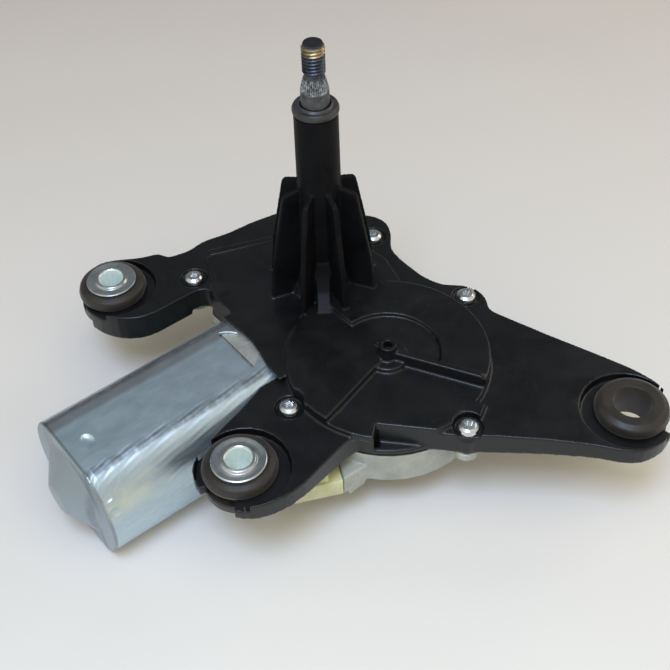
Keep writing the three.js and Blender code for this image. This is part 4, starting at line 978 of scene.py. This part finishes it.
def table_material():
    m = Material("pale_table")
    tone = m.noise(size=160, detail=3, rough=0.5)
    speckle = m.noise(size=2.2, detail=6, rough=0.7)
    # painted shade: the table darkens with distance, 0.0013 per mm, 0.42 at the origin
    away = m.math("MULTIPLY_ADD", m.along(m.place, (VIEW_X, VIEW_Y, 0.0)), 0.0013, 0.42)
    base = m.mix(m.rise(away, start=0.0, end=1.0), (0.73, 0.75, 0.775), (0.47, 0.445, 0.475))
    base = m.tint(base, (0.62, 0.605, 0.60), m.rise(tone), amount=0.25)
    base = m.tint(base, (0.50, 0.47, 0.44), m.rise(speckle, start=0.62, end=0.8), amount=0.12)
    m.relief(m.noise(size=1.2), depth=0.02, strength=0.5)
    return m.done(base, rough=0.55)


corners = [(x * FLOOR_HALF, y * FLOOR_HALF, FLOOR_Z)
           for x, y in ((-1, -1), (1, -1), (1, 1), (-1, 1))]
floor = mesh_object("table_top", corners, [(0, 1, 2, 3)])
floor.data.materials.append(table_material())

# ---------------------------------------------------------------- world
# room colour from behind the part (0) round to the camera side (1)
ROOM = [(0.0, (0.26, 0.24, 0.22)), (0.16, (0.135, 0.15, 0.165)), (0.30, (0.15, 0.19, 0.215)),
        (0.46, (0.66, 0.62, 0.53)), (0.62, (0.88, 0.84, 0.74)), (1.0, (0.70, 0.68, 0.62))]
DIFFUSE_WARMTH = (1.05, 0.96, 0.72)      # tint of the light that reaches matt surfaces

bpy.context.scene.view_settings.view_transform = "Standard"
world = bpy.data.worlds.new("studio")
bpy.context.scene.world = world
world.use_nodes = True
room = Shading(world.node_tree)
background = world.node_tree.nodes["Background"]
toward = room.along(room.node("TexCoord").outputs["Generated"], (-VIEW_X, -VIEW_Y, 0.0))
colour = room.ramp(room.math("MULTIPLY_ADD", toward, 0.5, 0.5), ROOM)    # -1..1 to 0..1
matt_only = room.node("LightPath").outputs["Is Diffuse Ray"]
room.feed(background.inputs["Color"], room.mix(matt_only, colour, DIFFUSE_WARMTH, "MULTIPLY"))
background.inputs["Strength"].default_value = 1.0

# ---------------------------------------------------------------- lights and camera, metres
CAM_RIGHT = Vector((0.7986, -0.6018, 0.0))
CAM_UP = Vector((0.4329, 0.5745, 0.6947))
LOOK = Vector((0.4181, 0.5548, -0.7193))
CAM_PLACE = Vector((-0.1866, -0.2538, 0.2949 + DATUM * MM))
CAM_ROLL = math.radians(2.15)
LIT_POINT = Vector((-0.02, -0.03, -0.01 + DATUM * MM))


def area(name, away, right, up, size, power, color):
    """Square light aimed at the lit point, placed from it as the camera sees it."""
    light = bpy.data.lights.new(name, "AREA")
    light.energy = power
    light.color = color
    light.shape = "RECTANGLE"
    light.size = light.size_y = size
    level = Vector((LOOK.x, LOOK.y, 0)).normalized()
    place = LIT_POINT + level * away + CAM_RIGHT.normalized() * right + Vector((0, 0, up))
    obj = link(bpy.data.objects.new(name, light))
    obj.location = place
    obj.rotation_euler = (LIT_POINT - place).to_track_quat("-Z", "Y").to_euler()
    return obj


# cool key from above on the camera side, warm fill without reflections, weak warm rear light
area("key", away=-0.36, right=-0.10, up=0.84, size=0.34, power=5.7, color=(0.54, 0.70, 1.0))
overhead = area("overhead", away=-0.45, right=0.25, up=1.0, size=1.1, power=4.6,
                color=(1.0, 0.90, 0.62))
overhead.visible_glossy = False
area("rear_right", away=0.45, right=0.7, up=0.5, size=0.45, power=1.5, color=(1.0, 0.90, 0.76))

lens = bpy.data.cameras.new("camera")
lens.lens = 59.1
lens.sensor_width = 36
lens.clip_start = 0.01
camera = link(bpy.data.objects.new("camera", lens))
rolled_right = CAM_RIGHT * math.cos(CAM_ROLL) - CAM_UP * math.sin(CAM_ROLL)
rolled_up = CAM_RIGHT * math.sin(CAM_ROLL) + CAM_UP * math.cos(CAM_ROLL)
pose = Matrix((rolled_right, rolled_up, -LOOK)).transposed().to_4x4()
pose.translation = CAM_PLACE
camera.matrix_world = pose
bpy.context.scene.camera = camera
